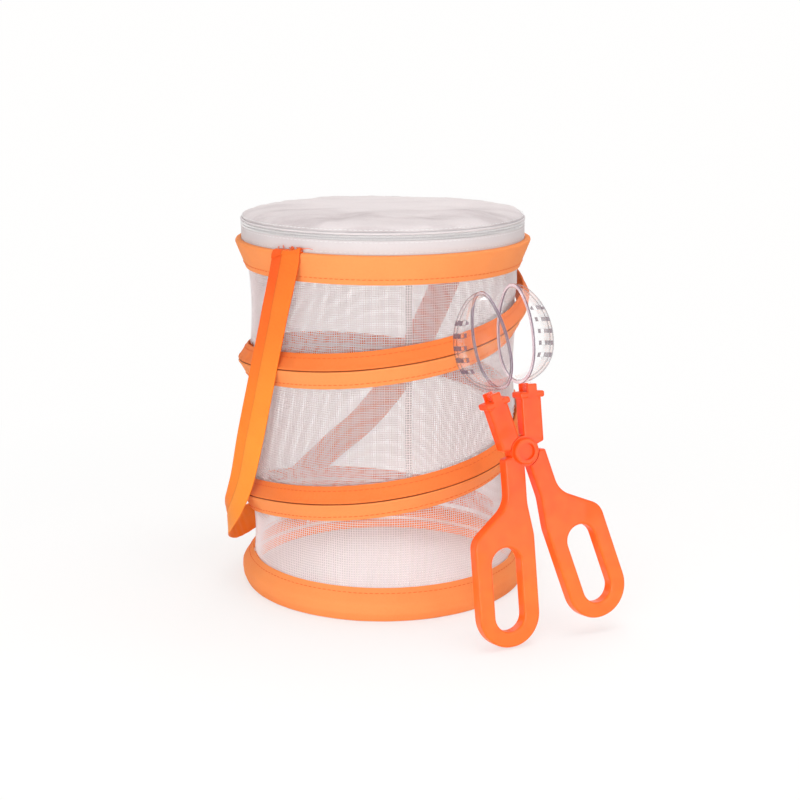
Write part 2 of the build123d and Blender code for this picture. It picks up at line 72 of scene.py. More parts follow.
MM = 0.001
FULL_TURN = 360.0
STITCH_PITCH = 2.7
UP = np.array([0.0, 0.0, 1.0])
Array = np.ndarray
Colour = tuple[float, float, float]
Point = tuple[float, float, float]
Plane = tuple[Point, Point]
Span = tuple[float, float]
Owner = bpy.types.Material | bpy.types.World


class Body(str, Enum):
    """Bodies of the model that pieces ride on."""

    ROOT = "root"
    RIM = "rim"
    LID = "lid"


class Hold(str, Enum):
    """Ways in which a sheet of cloth is held."""

    STRETCHED = "stretched"
    HUNG = "hung"


class Pattern(str, Enum):
    """Surface patterns of a cloth."""

    PLAIN_WEAVE = "plain weave"
    RIBBED = "ribbed"
    SATIN = "satin"


# Shader expressions


def _operator(operation: str, swapped: bool = False) -> Callable[[Shade, Shade | float], Shade]:
    """Method of an expression that puts a math node on two values.

    Args:
        operation: what the node does.
        swapped: True where the other value stands on the left.

    Returns:
        The method.
    """

    def apply(this: Shade, other: Shade | float) -> Shade:
        """Math node on this value and another."""
        return this.tree.node(
            "ShaderNodeMath", {"operation": operation}, {0: other, 1: this} if swapped else {0: this, 1: other}
        )

    return apply


class Shade:
    """Output socket of a shader tree that takes part in Python expressions."""

    def __init__(self, tree: ShaderTree, socket: bpy.types.NodeSocket) -> None:
        """Keeps the socket and its tree."""
        self.tree = tree
        self.socket = socket

    def part(self, name: str) -> Shade:
        """Another output of the same node."""
        return Shade(self.tree, self.socket.node.outputs[name])

    def _math(self, operation: str, *values: Shade | float) -> Shade:
        """Math node on the given values in their order."""
        return self.tree.node("ShaderNodeMath", {"operation": operation}, dict(enumerate(values)))

    __add__ = _operator("ADD")
    __radd__ = _operator("ADD", swapped=True)
    __sub__ = _operator("SUBTRACT")
    __rsub__ = _operator("SUBTRACT", swapped=True)
    __mul__ = _operator("MULTIPLY")
    __rmul__ = _operator("MULTIPLY", swapped=True)
    __truediv__ = _operator("DIVIDE")
    __pow__ = _operator("POWER")
    __gt__ = _operator("GREATER_THAN")

    def __abs__(self) -> Shade:
        """Size without its sign."""
        return self._math("ABSOLUTE", self)

    def sine(self) -> Shade:
        """Sine of this value in radians."""
        return self._math("SINE", self)

    def greatest(self, other: Shade) -> Shade:
        """The greater of two values."""
        return self._math("MAXIMUM", self, other)

    def clipped(self) -> Shade:
        """This value held between 0 and 1."""
        return self.tree.node("ShaderNodeClamp", {}, {"Value": self})

    def step(self, low: float, high: float) -> Shade:
        """Smooth step from 0 at low to 1 at high."""
        return self.tree.node(
            "ShaderNodeMapRange",
            {"interpolation_type": "SMOOTHSTEP"},
            {"Value": self, "From Min": low, "From Max": high},
        )


class ShaderTree:
    """Shader node tree of one material or world."""

    def __init__(self, owner: Owner) -> None:
        """Empties the owner's tree.

        Args:
            owner: the material or world.
        """
        self.owner = owner
        owner.use_nodes = True
        self.tree = owner.node_tree
        self.tree.nodes.clear()

    @classmethod
    def named(cls, name: str) -> ShaderTree:
        """Tree of a new material."""
        return cls(bpy.data.materials.new(name))

    def node(
        self,
        kind: str,
        settings: dict[str, Any] | None = None,
        inputs: dict[str | int, Any] | None = None,
        output: str | int = 0,
    ) -> Shade:
        """Adds a node.

        Args:
            kind: type of the node.
            settings: its properties, set before its sockets.
            inputs: values or links of its input sockets, by name or place.
            output: the output that the expression goes on with.

        Returns:
            The chosen output.
        """
        made = self.tree.nodes.new(kind)
        for key, value in (settings or {}).items():
            setattr(made, key, value)
        for key, value in (inputs or {}).items():
            self._feed(made.inputs[key], value)
        return Shade(self, made.outputs[output])

    def _feed(self, socket: bpy.types.NodeSocket, value: Any) -> None:
        """Sets a socket to a value or links it."""
        if isinstance(value, Shade):
            self.tree.links.new(value.socket, socket)
        elif socket.type == "RGBA" and len(value) == 3:
            socket.default_value = (*value, 1.0)
        else:
            socket.default_value = value

    def mixed(self, factor: Shade | float, first: Shade | Colour, second: Shade | Colour) -> Shade:
        """Colour between two colours."""
        settings = {"data_type": "RGBA", "clamp_factor": True}
        return self.node("ShaderNodeMix", settings, {0: factor, 6: first, 7: second}, 2)

    def scaled(self, colour: Shade | Colour, factor: Shade | float) -> Shade:
        """Colour made brighter or darker."""
        return self.node("ShaderNodeVectorMath", {"operation": "SCALE"}, {0: colour, "Scale": factor})

    def vector(self, operation: str, *values: Any, output: str = "Vector") -> Shade:
        """Vector math node on the given values in their order."""
        return self.node("ShaderNodeVectorMath", {"operation": operation}, dict(enumerate(values)), output)

    def place(self) -> Shade:
        """Object coordinates."""
        return self.node("ShaderNodeTexCoord", output="Object")

    def coordinate(self, axis: str) -> Shade:
        """One object coordinate in metres."""
        return self.node("ShaderNodeSeparateXYZ", {}, {0: self.place()}, axis)

    def lengths(self) -> tuple[Shade, Shade]:
        """Distances along and across the cloth in metres, from its UV map."""
        vector = self.node("ShaderNodeUVMap", {"uv_map": "UVMap"})
        split = self.node("ShaderNodeSeparateXYZ", {}, {0: vector})
        return split.part("X"), split.part("Y")

    def mottle(self, scale: float, detail: float = 2.0, vector: Shade | None = None) -> Shade:
        """Soft noise from 0 to 1 over the surface.

        Args:
            scale: patches per metre.
            detail: octaves of finer noise.
            vector: coordinates, or None for object coordinates.

        Returns:
            The noise value.
        """
        inputs = {"Vector": vector or self.place(), "Scale": scale, "Detail": detail}
        return self.node("ShaderNodeTexNoise", {}, inputs)

    def bump(self, height: Shade, depth: float) -> Shade:
        """Normal of a surface with small relief, its depth in metres."""
        return self.node("ShaderNodeBump", {}, {"Height": height, "Distance": depth, "Strength": 1.0})

    def surface(self, **sockets: Any) -> Shade:
        """Principled surface; a socket's name is written with underscores."""
        named = {key.replace("_", " ").title().replace("Ior", "IOR"): value for key, value in sockets.items()}
        return self.node("ShaderNodeBsdfPrincipled", {}, named)

    def blend_shaders(self, factor: Shade | float, first: Shade, second: Shade) -> Shade:
        """Mix of two shaders."""
        return self.node("ShaderNodeMixShader", {}, {0: factor, 1: first, 2: second})

    def close(self, shader: Shade, kind: str = "ShaderNodeOutputMaterial") -> Owner:
        """Ends the tree with a shader and returns its owner."""
        made = self.tree.nodes.new(kind)
        self.tree.links.new(shader.socket, made.inputs["Surface"])
        return self.owner


# Finishes


@dataclass(frozen=True)
class Cloth:
    """Woven, ribbed or satin cloth.

    Attributes:
        name: name of the material.
        colour: linear colour of the threads.
        pattern: how the threads cross.
        pitch: distance between threads in metres.
        depth: depth of the weave in metres.
        roughness: roughness of the threads.
        sheen: weight of the soft glow at its edges.
        glow: share of the light that comes through.
        shade: darker colour for the mottle and slubs, and for all the painted shade.
        wear: how far the mottling goes.
        folded: strength of the painted shade on the cloth past the fold at the UV map's zero.
        crease: how dark the painted shade line in that fold is.
        painted_top_shade: strength of the painted shade that deepens the colour towards the top of the cage.
        painted_front_edge_shade: strength of the painted shade in drawn-out patches, strongest towards the front
            edge of a round piece.
        cover: how much of what lies behind it the cloth hides.
        painted_shade_heights: heights between which that painted shade sets in.
        painted_shade_radii: distances from the middle between which that painted shade sets in.
        painted_shade_front: places from front to back between which it ends.
        crease_shade_tint: colour of the painted shade line in the crease.
    """

    name: str
    colour: Colour
    pattern: Pattern = Pattern.PLAIN_WEAVE
    pitch: float = 0.00042
    depth: float = 0.00005
    roughness: float = 0.62
    sheen: float = 0.25
    glow: float = 0.12
    shade: Colour = (0.8, 0.1, 0.01)
    wear: float = 0.25
    folded: float = 0.0
    crease: float = 0.0
    painted_top_shade: float = 0.0
    painted_front_edge_shade: float = 0.0
    cover: float = 1.0
    painted_shade_heights: Span = (0.07, 0.185)
    painted_shade_radii: Span = (0.03, 0.055)
    painted_shade_front: Span = (-0.05, 0.01)
    crease_shade_tint: Colour = (0.16, 0.018, 0.003)

    def _relief(self, tree: ShaderTree) -> Shade:
        """Height of the threads from 0 to 1."""
        along, across = tree.lengths()
        warp = (along * (math.pi / self.pitch)).sine()
        weft = (across * (math.pi / self.pitch)).sine()
        if self.pattern is Pattern.RIBBED:
            return abs(warp) * 0.7 + abs((across * (0.4 * math.pi / self.pitch)).sine()) * 0.3
        if self.pattern is Pattern.SATIN:
            return abs(weft) * 0.8 + abs((along * (0.25 * math.pi / self.pitch)).sine()) * 0.2
        over = (warp * weft) > 0.0
        return over * abs(warp) + (1.0 - over) * abs(weft)

    def _painted_shade(self, tree: ShaderTree) -> Shade | float:
        """Painted shade past the fold, towards the top and towards the front edge of a round piece."""
        painted_shade: Shade | float = 0.0
        # Painted shade on the side past the fold.
        if self.folded:
            painted_shade = tree.lengths()[1].step(-0.0001, 0.0003) * self.folded
        # Painted shade towards the top.
        if self.painted_top_shade:
            painted_shade = painted_shade + tree.coordinate("Z").step(*self.painted_shade_heights) * self.painted_top_shade
        # Painted shade in drawn-out patches, strongest on the front slope of the lid.
        if self.painted_front_edge_shade:
            side = tree.coordinate("X")
            deep = side.part("Y")
            radius = (side * side + deep * deep) ** 0.5
            drawn_out = tree.vector("MULTIPLY", tree.place(), (0.45, 1.5, 1.0))
            shade_patches = tree.mottle(60.0, 3.0, drawn_out).step(0.4, 0.8)
            front = 1.0 - deep.step(*self.painted_shade_front)
            edge = radius.step(*self.painted_shade_radii) * front * (0.45 + shade_patches)
            painted_shade = painted_shade + (edge + shade_patches * 0.2) * self.painted_front_edge_shade
        return painted_shade

    def _painted_crease_shade(self, tree: ShaderTree, colour: Shade) -> Shade:
        """Colour with a painted shade line, dark and thin, in the crease."""
        across = tree.lengths()[1]
        inner, outer = 0.0002, 0.0006
        line = across.step(-outer, -inner) * (1.0 - across.step(inner, outer))
        return tree.mixed(line * (0.7 + 0.5 * tree.mottle(25.0)) * self.crease, colour, self.crease_shade_tint)

    def material(self) -> bpy.types.Material:
        """Builds the finish.

        Returns:
            The new material.
        """
        tree = ShaderTree.named(self.name)
        relief = self._relief(tree)
        patches = tree.mottle(55.0, 3.0)
        slubs = tree.mottle(900.0, 1.0)
        # Mottle and slubs, with painted shade in the hollows of the weave.
        tone = (patches - 0.5) * (1.6 * self.wear) + (1.0 - relief) * 0.22 + (slubs - 0.5) * 0.25
        colour = tree.mixed((tone.clipped() * 0.6 + self._painted_shade(tree)).clipped(), self.colour, self.shade)
        # Painted shade line in the crease.
        if self.crease:
            colour = self._painted_crease_shade(tree, colour)
        normal = tree.bump(relief + slubs * 0.5, self.depth)
        cloth = tree.surface(
            base_color=colour,
            roughness=self.roughness + (slubs - 0.5) * 0.12,
            sheen_weight=self.sheen,
            sheen_roughness=0.45,
            sheen_tint=(*self.colour, 1.0),
            specular_ior_level=0.3,
            normal=normal,
        )
        through = tree.node("ShaderNodeBsdfTranslucent", {}, {"Color": colour, "Normal": normal})
        whole = tree.blend_shaders(self.glow, cloth, through)
        if self.cover < 1.0:
            clear = tree.node("ShaderNodeBsdfTransparent", {}, {"Color": (1.0, 1.0, 1.0)})
            whole = tree.blend_shaders(self.cover, clear, whole)
        return tree.close(whole)


@dataclass(frozen=True)
class Thread:
    """Spun or drawn thread of a net, a seam or a zip coil.

    Attributes:
        name: name of the material.
        colour: linear colour of the thread.
        roughness: roughness of its fibres.
        glow: share of the light that comes through.
        twist: length of one twist in metres.
        painted_glow: painted glow, light that the thread gives off though it is no lamp.
    """

    name: str
    colour: Colour
    roughness: float = 0.5
    glow: float = 0.2
    twist: float = 0.0006
    painted_glow: float = 0.0

    def material(self) -> bpy.types.Material:
        """Builds the finish."""
        tree = ShaderTree.named(self.name)
        fibres = tree.mottle(1.0 / self.twist, 2.0)
        patches = tree.mottle(40.0, 2.0)
        colour = tree.scaled(self.colour, 0.9 + fibres * 0.12 + patches * 0.08)
        normal = tree.bump(fibres, 0.00004)
        thread = tree.surface(
            base_color=colour,
            roughness=self.roughness + (fibres - 0.5) * 0.2,
            specular_ior_level=0.3,
            # Painted glow of the thread, which is no lamp.
            emission_color=colour,
            emission_strength=self.painted_glow,
            normal=normal,
        )
        through = tree.node("ShaderNodeBsdfTranslucent", {}, {"Color": colour})
        return tree.close(tree.blend_shaders(self.glow, thread, through))


@dataclass(frozen=True)
class Moulding:
    """Glossy moulded plastic with a faint ripple, softer scuffed places and painted shade higher up.

    Attributes:
        name: name of the material.
        colour: linear colour of the plastic.
        deep: its darker colour, for the ripple and for the painted shade.
        roughness: roughness of clean places.
        coat: weight of the gloss on them.
        cover: how much of what lies behind it the plastic hides.
        painted_top_shade: strength of the painted shade that deepens it with height.
        painted_shade_heights: heights between which the painted shade sets in.
    """

    name: str
    colour: Colour
    deep: Colour
    roughness: float = 0.3
    coat: float = 0.12
    cover: float = 1.0
    painted_top_shade: float = 0.0
    painted_shade_heights: Span = (0.015, 0.095)

    def material(self) -> bpy.types.Material:
        """Builds the finish."""
        tree = ShaderTree.named(self.name)
        ripple = tree.mottle(140.0, 1.0)
        grain = tree.mottle(2600.0, 2.0)
        scuffs = tree.mottle(75.0, 4.0).step(0.52, 0.75)
        # Random ripple, and painted shade that deepens the colour with height.
        deeper = (ripple - 0.35) * 0.5 + tree.coordinate("Z").step(*self.painted_shade_heights) * self.painted_top_shade
        colour = tree.mixed(deeper.clipped(), self.colour, self.deep)
        normal = tree.bump(ripple + grain * 0.04, 0.00025)
        plastic = tree.surface(
            base_color=colour,
            roughness=self.roughness + scuffs * 0.14 + grain * 0.04,
            coat_weight=self.coat - scuffs * 0.08,
            coat_roughness=0.08,
            specular_ior_level=0.25,
            subsurface_weight=0.12,
            subsurface_scale=0.002,
            alpha=self.cover,
            normal=normal,
        )
        return tree.close(plastic)


@dataclass(frozen=True)
class ClearMoulding:
    """Clear plastic shell with a painted highlight on its cut rim, a painted dark line under it and a painted
    dark outline.

    Attributes:
        name: name of the material.
        rim_point: a point of the plane that the shell's rim lies in, in metres.
        rim_normal: direction from the rim plane into the shell.
        tint: linear colour of the body of the plastic.
        rim_painted_highlight: colour of the painted highlight on the rim's face.
        painted_dark_line_tint: colour of the painted dark line under the rim and of the painted dark outline.
        face: depths from the rim plane at which the painted highlight on its face ends.
        line: depths at which the painted dark line under it ends.
        outline: shares of a turn away from the eye between which the painted dark outline sets in.
    """

    name: str
    rim_point: Point
    rim_normal: Point
    tint: Colour = (0.93, 0.9, 0.93)
    rim_painted_highlight: Colour = (0.9, 0.74, 0.82)
    painted_dark_line_tint: Colour = (0.13, 0.07, 0.11)
    face: Span = (0.00004, 0.0001)
    line: Span = (0.0006, 0.0012)
    outline: Span = (0.66, 0.88)

    def material(self) -> bpy.types.Material:
        """Builds the finish."""
        tree = ShaderTree.named(self.name)
        arm = tree.vector("SUBTRACT", tree.place(), self.rim_point)
        from_rim = tree.vector("DOT_PRODUCT", arm, self.rim_normal, output="Value")
        # Painted highlight on the rim's face.
        face = 1.0 - from_rim.step(*self.face)
        # Painted dark line under the rim.
        line = (1.0 - from_rim.step(*self.line)) * (1.0 - face)
        flow = tree.mottle(120.0, 2.0)
        # Painted dark outline where the shell turns away from the eye.
        turned_away = tree.node("ShaderNodeLayerWeight", {}, {"Blend": 0.5}, "Facing")
        outline = turned_away.step(*self.outline) * (0.35 + flow * 0.7)
        colour = tree.mixed(line, tree.mixed(face, self.tint, self.rim_painted_highlight), self.painted_dark_line_tint)
        normal = tree.bump(flow, 0.0004)
        body = tree.surface(
            base_color=colour,
            roughness=0.1 + flow * 0.06,
            alpha=0.01 + flow * 0.012 + face * 0.6 + line * 0.85,
            specular_ior_level=0.3,
            normal=normal,
        )
        # Dark surface of the painted outline.
        edge = tree.surface(base_color=self.painted_dark_line_tint, roughness=0.08, specular_ior_level=0.9, normal=normal)
        shine = {"Color": (1.0, 1.0, 1.0), "Roughness": 0.05, "Normal": normal}
        gloss = tree.node("ShaderNodeBsdfGlossy", {}, shine)
        mirror = tree.node("ShaderNodeFresnel", {}, {"IOR": 1.3, "Normal": normal})
        lined = tree.blend_shaders((outline * 0.7).clipped(), body, edge)
        return tree.close(tree.blend_shaders((mirror * 0.22).clipped(), lined, gloss))


@dataclass(frozen=True)
class Metal:
    """Drawn or enamelled metal.

    Attributes:
        name: name of the material.
        colour: linear colour of its surface.
        metallic: 1 for bare metal, 0 for a painted one.
        roughness: roughness of clean places.
        coat: weight of the gloss on it.
    """

    name: str
    colour: Colour
    metallic: float
    roughness: float
    coat: float = 0.0

    def material(self) -> bpy.types.Material:
        """Builds the finish."""
        tree = ShaderTree.named(self.name)
        grain = tree.mottle(1800.0, 2.0)
        stains = tree.mottle(120.0, 3.0)
        colour = tree.scaled(self.colour, 0.86 + stains * 0.2)
        metal = tree.surface(
            base_color=colour,
            metallic=self.metallic,
            roughness=self.roughness + (grain - 0.5) * 0.15,
            coat_weight=self.coat,
            normal=tree.bump(grain, 0.00002),
        )
        return tree.close(metal)


class Finishes:
    """All finishes of the set, built once."""

    def __init__(self, scoop_planes: dict[str, Plane]) -> None:
        """Builds the materials.

        Args:
            scoop_planes: rim plane of each scoop, as a point and a direction.
        """
        orange = (0.98, 0.33, 0.095)
        deep_orange = (0.9, 0.15, 0.02)
        white_shade = (0.6, 0.55, 0.56)
        self.orange_fabric = Cloth("orange_fabric_woven", orange, shade=deep_orange).material()
        # Sleeve: painted shade on its upper strip past the fold, and a painted shade line in the crease.
        self.sleeve_fabric = Cloth(
            "orange_sleeve_woven", orange, shade=(0.93, 0.17, 0.02), folded=0.6, crease=0.95
        ).material()
        # Ribbon: painted shade past its crease, a painted shade line in the crease and painted shade towards its
        # top.
        self.orange_ribbon = Cloth(
            "orange_ribbon_satin", (0.98, 0.33, 0.03), Pattern.SATIN, 0.0005, 0.00006, 0.5, 0.15, 0.15,
            (0.86, 0.1, 0.006), 0.3, folded=0.32, crease=0.16, painted_top_shade=0.62,
        ).material()
        self.white_fabric = Cloth(
            "white_fabric_woven", (0.76, 0.71, 0.715), roughness=0.7, glow=0.2, shade=white_shade
        ).material()
        self.binding = Cloth(
            "white_binding_sheer", (0.95, 0.92, 0.92), pitch=0.0003, glow=0.5, shade=white_shade, wear=0.1,
            cover=0.4,
        ).material()
        self.zip_tape = Cloth(
            "white_zip_tape_ribbed", (0.84, 0.82, 0.83), Pattern.RIBBED, 0.0006, 0.00009, shade=white_shade
        ).material()
        # Lid: painted shade in patches, strongest towards its front edge.
        self.lid_fabric = Cloth(
            "lid_fabric_sheer", (0.88, 0.83, 0.83), pitch=0.0003, depth=0.00002, roughness=0.5, glow=0.3,
            shade=(0.42, 0.34, 0.35), wear=0.2, painted_front_edge_shade=0.42,
        ).material()
        # Net thread with a faint painted glow.
        self.net = Thread("white_net_thread", (0.93, 0.87, 0.87), 0.55, 0.4, painted_glow=0.03).material()
        self.orange_thread = Thread("orange_sewing_thread", (0.86, 0.15, 0.025), 0.6, 0.05).material()
        self.white_thread = Thread("white_sewing_thread", (0.85, 0.83, 0.83), 0.55, 0.1).material()
        self.coil = Thread("white_nylon_coil", (0.88, 0.86, 0.86), 0.3, 0.15, 0.001).material()
        self.enamel = Metal("white_enamel", (0.85, 0.83, 0.83), 0.0, 0.25, 0.6).material()
        self.steel = Metal("spring_steel_coated", (0.85, 0.6, 0.5), 0.0, 0.4).material()
        # Tongs: painted shade, darker towards their top.
        self.orange_plastic = Moulding(
            "orange_moulded_plastic", (0.97, 0.155, 0.016), (0.93, 0.06, 0.003), painted_top_shade=0.75
        ).material()
        # Painted shade on the cut walls of the scoops' vents.
        self.vent_painted_shade = Moulding(
            "clear_plastic_vent_painted_shade", (0.16, 0.09, 0.12), (0.06, 0.03, 0.05), cover=0.8
        ).material()
        # Scoops: painted highlight on the rim, painted dark line under it and painted dark outline.
        self.scoops = {
            name: ClearMoulding(f"clear_plastic_{name}", point, normal).material()
            for name, (point, normal) in scoop_planes.items()
        }


# Mesh making


def polar(radius: Array | float, azimuth: Array | float, height: Array | float) -> Array:
    """Points at radii, azimuths in degrees from the front and heights of the cage."""
    angle = np.radians(azimuth)
    return np.stack(np.broadcast_arrays(radius * np.sin(angle), -radius * np.cos(angle), height), axis=-1)


def azimuths(count: int) -> Array:
    """Evenly spaced azimuths of one full turn in degrees."""
    return np.arange(count) * FULL_TURN / count


def unit(vectors: Array) -> Array:
    """Vectors scaled to a length of 1."""
    return vectors / np.linalg.norm(vectors, axis=-1, keepdims=True)


def distances(line: Array) -> Array:
    """Distance along a line of points from its start to each of them."""
    return np.concatenate([[0.0], np.cumsum(np.linalg.norm(np.diff(line, axis=0), axis=-1))])


def two_faced(outside: Array, inside: Array) -> Array:
    """Closed sections of a cloth from the rows of its outer and inner faces."""
    return np.concatenate([outside, inside[:, ::-1]], axis=1)


def outer_volume(points: Array, quads: Array) -> float:
    """Signed volume inside closed quads."""
    a, b, c, d = (points[quads[:, k]] for k in range(4))
    return float((a * np.cross(b, c)).sum() + (a * np.cross(c, d)).sum())


def grid_object(
    name: str,
    grid: Array,
    material: bpy.types.Material,
    ring: bool = True,
    sharp: float = 55.0,
    fold: int = 0,
) -> bpy.types.Object:
    """Closed solid over rows of closed sections.

    Args:
        name: name of the piece.
        grid: points in millimetres; rows run along the piece and columns round its section.
        material: its finish.
        ring: True where the last row joins the first; otherwise both ends are capped.
        sharp: angle in degrees above which an edge stays sharp.
        fold: column at which the UV map's width is zero.

    Returns:
        The linked object, its UV map in metres along and across.
    """
    rows, cols = grid.shape[:2]
    points = grid.reshape(-1, 3) * MM
    runs = np.meshgrid(np.arange(rows if ring else rows - 1), np.arange(cols), indexing="ij")
    row, col = (index.ravel() for index in runs)
    next_row, next_col = (row + 1) % rows, (col + 1) % cols
    corners = [(row, col), (next_row, col), (next_row, next_col), (row, next_col)]
    quads = np.stack([first * cols + second for first, second in corners], 1)
    wrapped = np.concatenate([grid, grid[:1]])
    steps = np.linalg.norm(np.diff(wrapped, axis=0), axis=-1).max(axis=1)
    along = np.concatenate([[0.0], np.cumsum(steps)]) * MM
    middle = grid[rows // 2]
    across = distances(np.concatenate([middle, middle[:1]])) * MM
    across -= across[fold]
    places = [(row, col), (row + 1, col), (row + 1, col + 1), (row, col + 1)]
    uv = np.stack([np.stack([along[first], across[second]], -1) for first, second in places], axis=1)
    if outer_volume(points - points.mean(axis=0), quads) < 0:
        quads, uv = quads[:, ::-1], uv[:, ::-1]
        caps = [list(range(cols)), [(rows - 1) * cols + k for k in reversed(range(cols))]]
    else:
        caps = [list(reversed(range(cols))), [(rows - 1) * cols + k for k in range(cols)]]
    faces = quads.tolist() + ([] if ring else caps)
    mesh = bpy.data.meshes.new(name)
    mesh.from_pydata(points.tolist(), [], faces)
    layer = mesh.uv_layers.new(name="UVMap")
    flat = uv.reshape(-1, 2)
    if not ring:
        ends = np.concatenate([np.stack([np.zeros(cols), across[:-1]], -1)] * 2)
        flat = np.concatenate([flat, ends])
    layer.data.foreach_set("uv", flat.ravel())
    return finished_object(name, mesh, material, sharp)


def finished_object(
    name: str, mesh: bpy.types.Mesh, material: bpy.types.Material, sharp: float = 55.0
) -> bpy.types.Object:
    """Links a mesh as a smooth shaded object with one finish."""
    mesh.polygons.foreach_set("use_smooth", [True] * len(mesh.polygons))
    mesh.set_sharp_from_angle(angle=math.radians(sharp))
    mesh.materials.clear()
    mesh.materials.append(material)
    made = bpy.data.objects.new(name, mesh)
    bpy.context.scene.collection.objects.link(made)
    return made


def weld(made: bpy.types.Object, reach: float = 1e-6) -> None:
    """Merges a piece's points that lie on each other."""
    shape = bmesh.new()
    shape.from_mesh(made.data)
    bmesh.ops.remove_doubles(shape, verts=shape.verts, dist=reach)
    shape.to_mesh(made.data)
    shape.free()


def dense(corners: Sequence[tuple[float, float]], step: float, rounds: int = 2) -> Array:
    """Line of close points through corners, with the corners eased.

    Args:
        corners: radius and height of each corner in millimetres.
        step: distance between points.
        rounds: how many times the corners are eased.

    Returns:
        Points as rows of radius and height.
    """
    line = []
    for start, end in zip(corners, corners[1:]):
        count = max(2, round(math.dist(start, end) / step))
        line += [np.add(start, np.subtract(end, start) * index / count) for index in range(count)]
    line.append(np.array(corners[-1], float))
    points = np.array(line)
    for _ in range(rounds):
        points[1:-1] = points[1:-1] * 0.5 + (points[:-2] + points[2:]) * 0.25
    return points


def walled(profile: Array, thickness: Array | float) -> Array:
    """Closed sections of a cloth whose outer faces follow lines in the plane of radius and height.

    Args:
        profile: outer lines from the bottom up, one for each row, as (rows, points, 2).
        thickness: thickness of the cloth, one number or one for each point.

    Returns:
        Closed sections with the inner face added, as (rows, 2 * points, 2).
    """
    way = unit(np.gradient(profile, axis=1))
    inward = np.stack([-way[..., 1], way[..., 0]], axis=-1)
    depth = np.broadcast_to(thickness, profile.shape[:2])[..., None]
    return two_faced(profile, profile + inward * depth)


def waves(turn: Array, counts: Sequence[int], seed: int) -> Array:
    """Sum of sines round a ring, from about -1 to 1.

    Args:
        turn: azimuths in degrees.
        counts: waves in each full turn.
        seed: picks the phases.

    Returns:
        The sum at each azimuth.
    """
    phases = np.random.default_rng(seed).uniform(0.0, 2.0 * math.pi, len(counts))
    angle = np.radians(turn)[..., None]
    return np.sin(angle * np.array(counts) + phases).sum(axis=-1) / len(counts) ** 0.5


def hump(value: Array, centre: float, width: float) -> Array:
    """Bell curve of height 1."""
    return np.exp(-(((value - centre) / width) ** 2))


# Geometry node trees


class GeometryTree:
    """Geometry node tree with named sizes."""

    def __init__(self, name: str) -> None:
        """Starts an empty tree.

        Args:
            name: name of the tree.
        """
        self.group = bpy.data.node_groups.new(name, "GeometryNodeTree")
        for way in ("INPUT", "OUTPUT"):
            self.group.interface.new_socket("Geometry", in_out=way, socket_type="NodeSocketGeometry")
        self.entry = self.group.nodes.new("NodeGroupInput")
        self.exit = self.group.nodes.new("NodeGroupOutput")

    def size(self, name: str, kind: str = "NodeSocketFloat") -> bpy.types.NodeSocket:
        """Adds a named input and returns its socket."""
        self.group.interface.new_socket(name, in_out="INPUT", socket_type=kind)
        return self.entry.outputs[name]

    def node(
        self, kind: str, settings: dict[str, Any] | None = None, inputs: dict[str | int, Any] | None = None
    ) -> bpy.types.NodeSocket:
        """Adds a node.

        Args:
            kind: type of the node.
            settings: its properties, set before its sockets.
            inputs: values or links of its input sockets.

        Returns:
            Its first output.
        """
        made = self.group.nodes.new(kind)
        for key, value in (settings or {}).items():
            setattr(made, key, value)
        for key, value in (inputs or {}).items():
            for item in value if isinstance(value, list) else [value]:
                if isinstance(item, bpy.types.NodeSocket):
                    self.group.links.new(item, made.inputs[key])
                else:
                    made.inputs[key].default_value = item
        return made.outputs[0]

    def close(self, geometry: bpy.types.NodeSocket, material: bpy.types.Material) -> None:
        """Ends the tree with real geometry in one finish."""
        real = self.node("GeometryNodeRealizeInstances", {}, {"Geometry": geometry})
        dressed = self.node("GeometryNodeSetMaterial", {}, {"Geometry": real, "Material": material})
        self.group.links.new(dressed, self.exit.inputs[0])

    def grow(self, name: str, source: bpy.types.Mesh, sizes: dict[str, float | int]) -> bpy.types.Object:
        """Runs the tree on a mesh and keeps the result as plain mesh.

        Args:
            name: name of the piece.
            source: mesh that the tree starts from.
            sizes: values of the tree's named inputs.

        Returns:
            The piece, without a modifier.
        """
        made = bpy.data.objects.new(name, source)
        bpy.context.scene.collection.objects.link(made)
        modifier = made.modifiers.new("shape", "NODES")
        modifier.node_group = self.group
        named = [item for item in self.group.interface.items_tree if item.in_out == "INPUT"]
        sockets = {item.name: item.identifier for item in named}
        for key, value in sizes.items():
            modifier[sockets[key]] = value
        graph = bpy.context.evaluated_depsgraph_get()
        result = bpy.data.meshes.new_from_object(made.evaluated_get(graph))
        made.modifiers.remove(modifier)
        made.data = result
        result.name = name
        result.polygons.foreach_set("use_smooth", [True] * len(result.polygons))
        return made


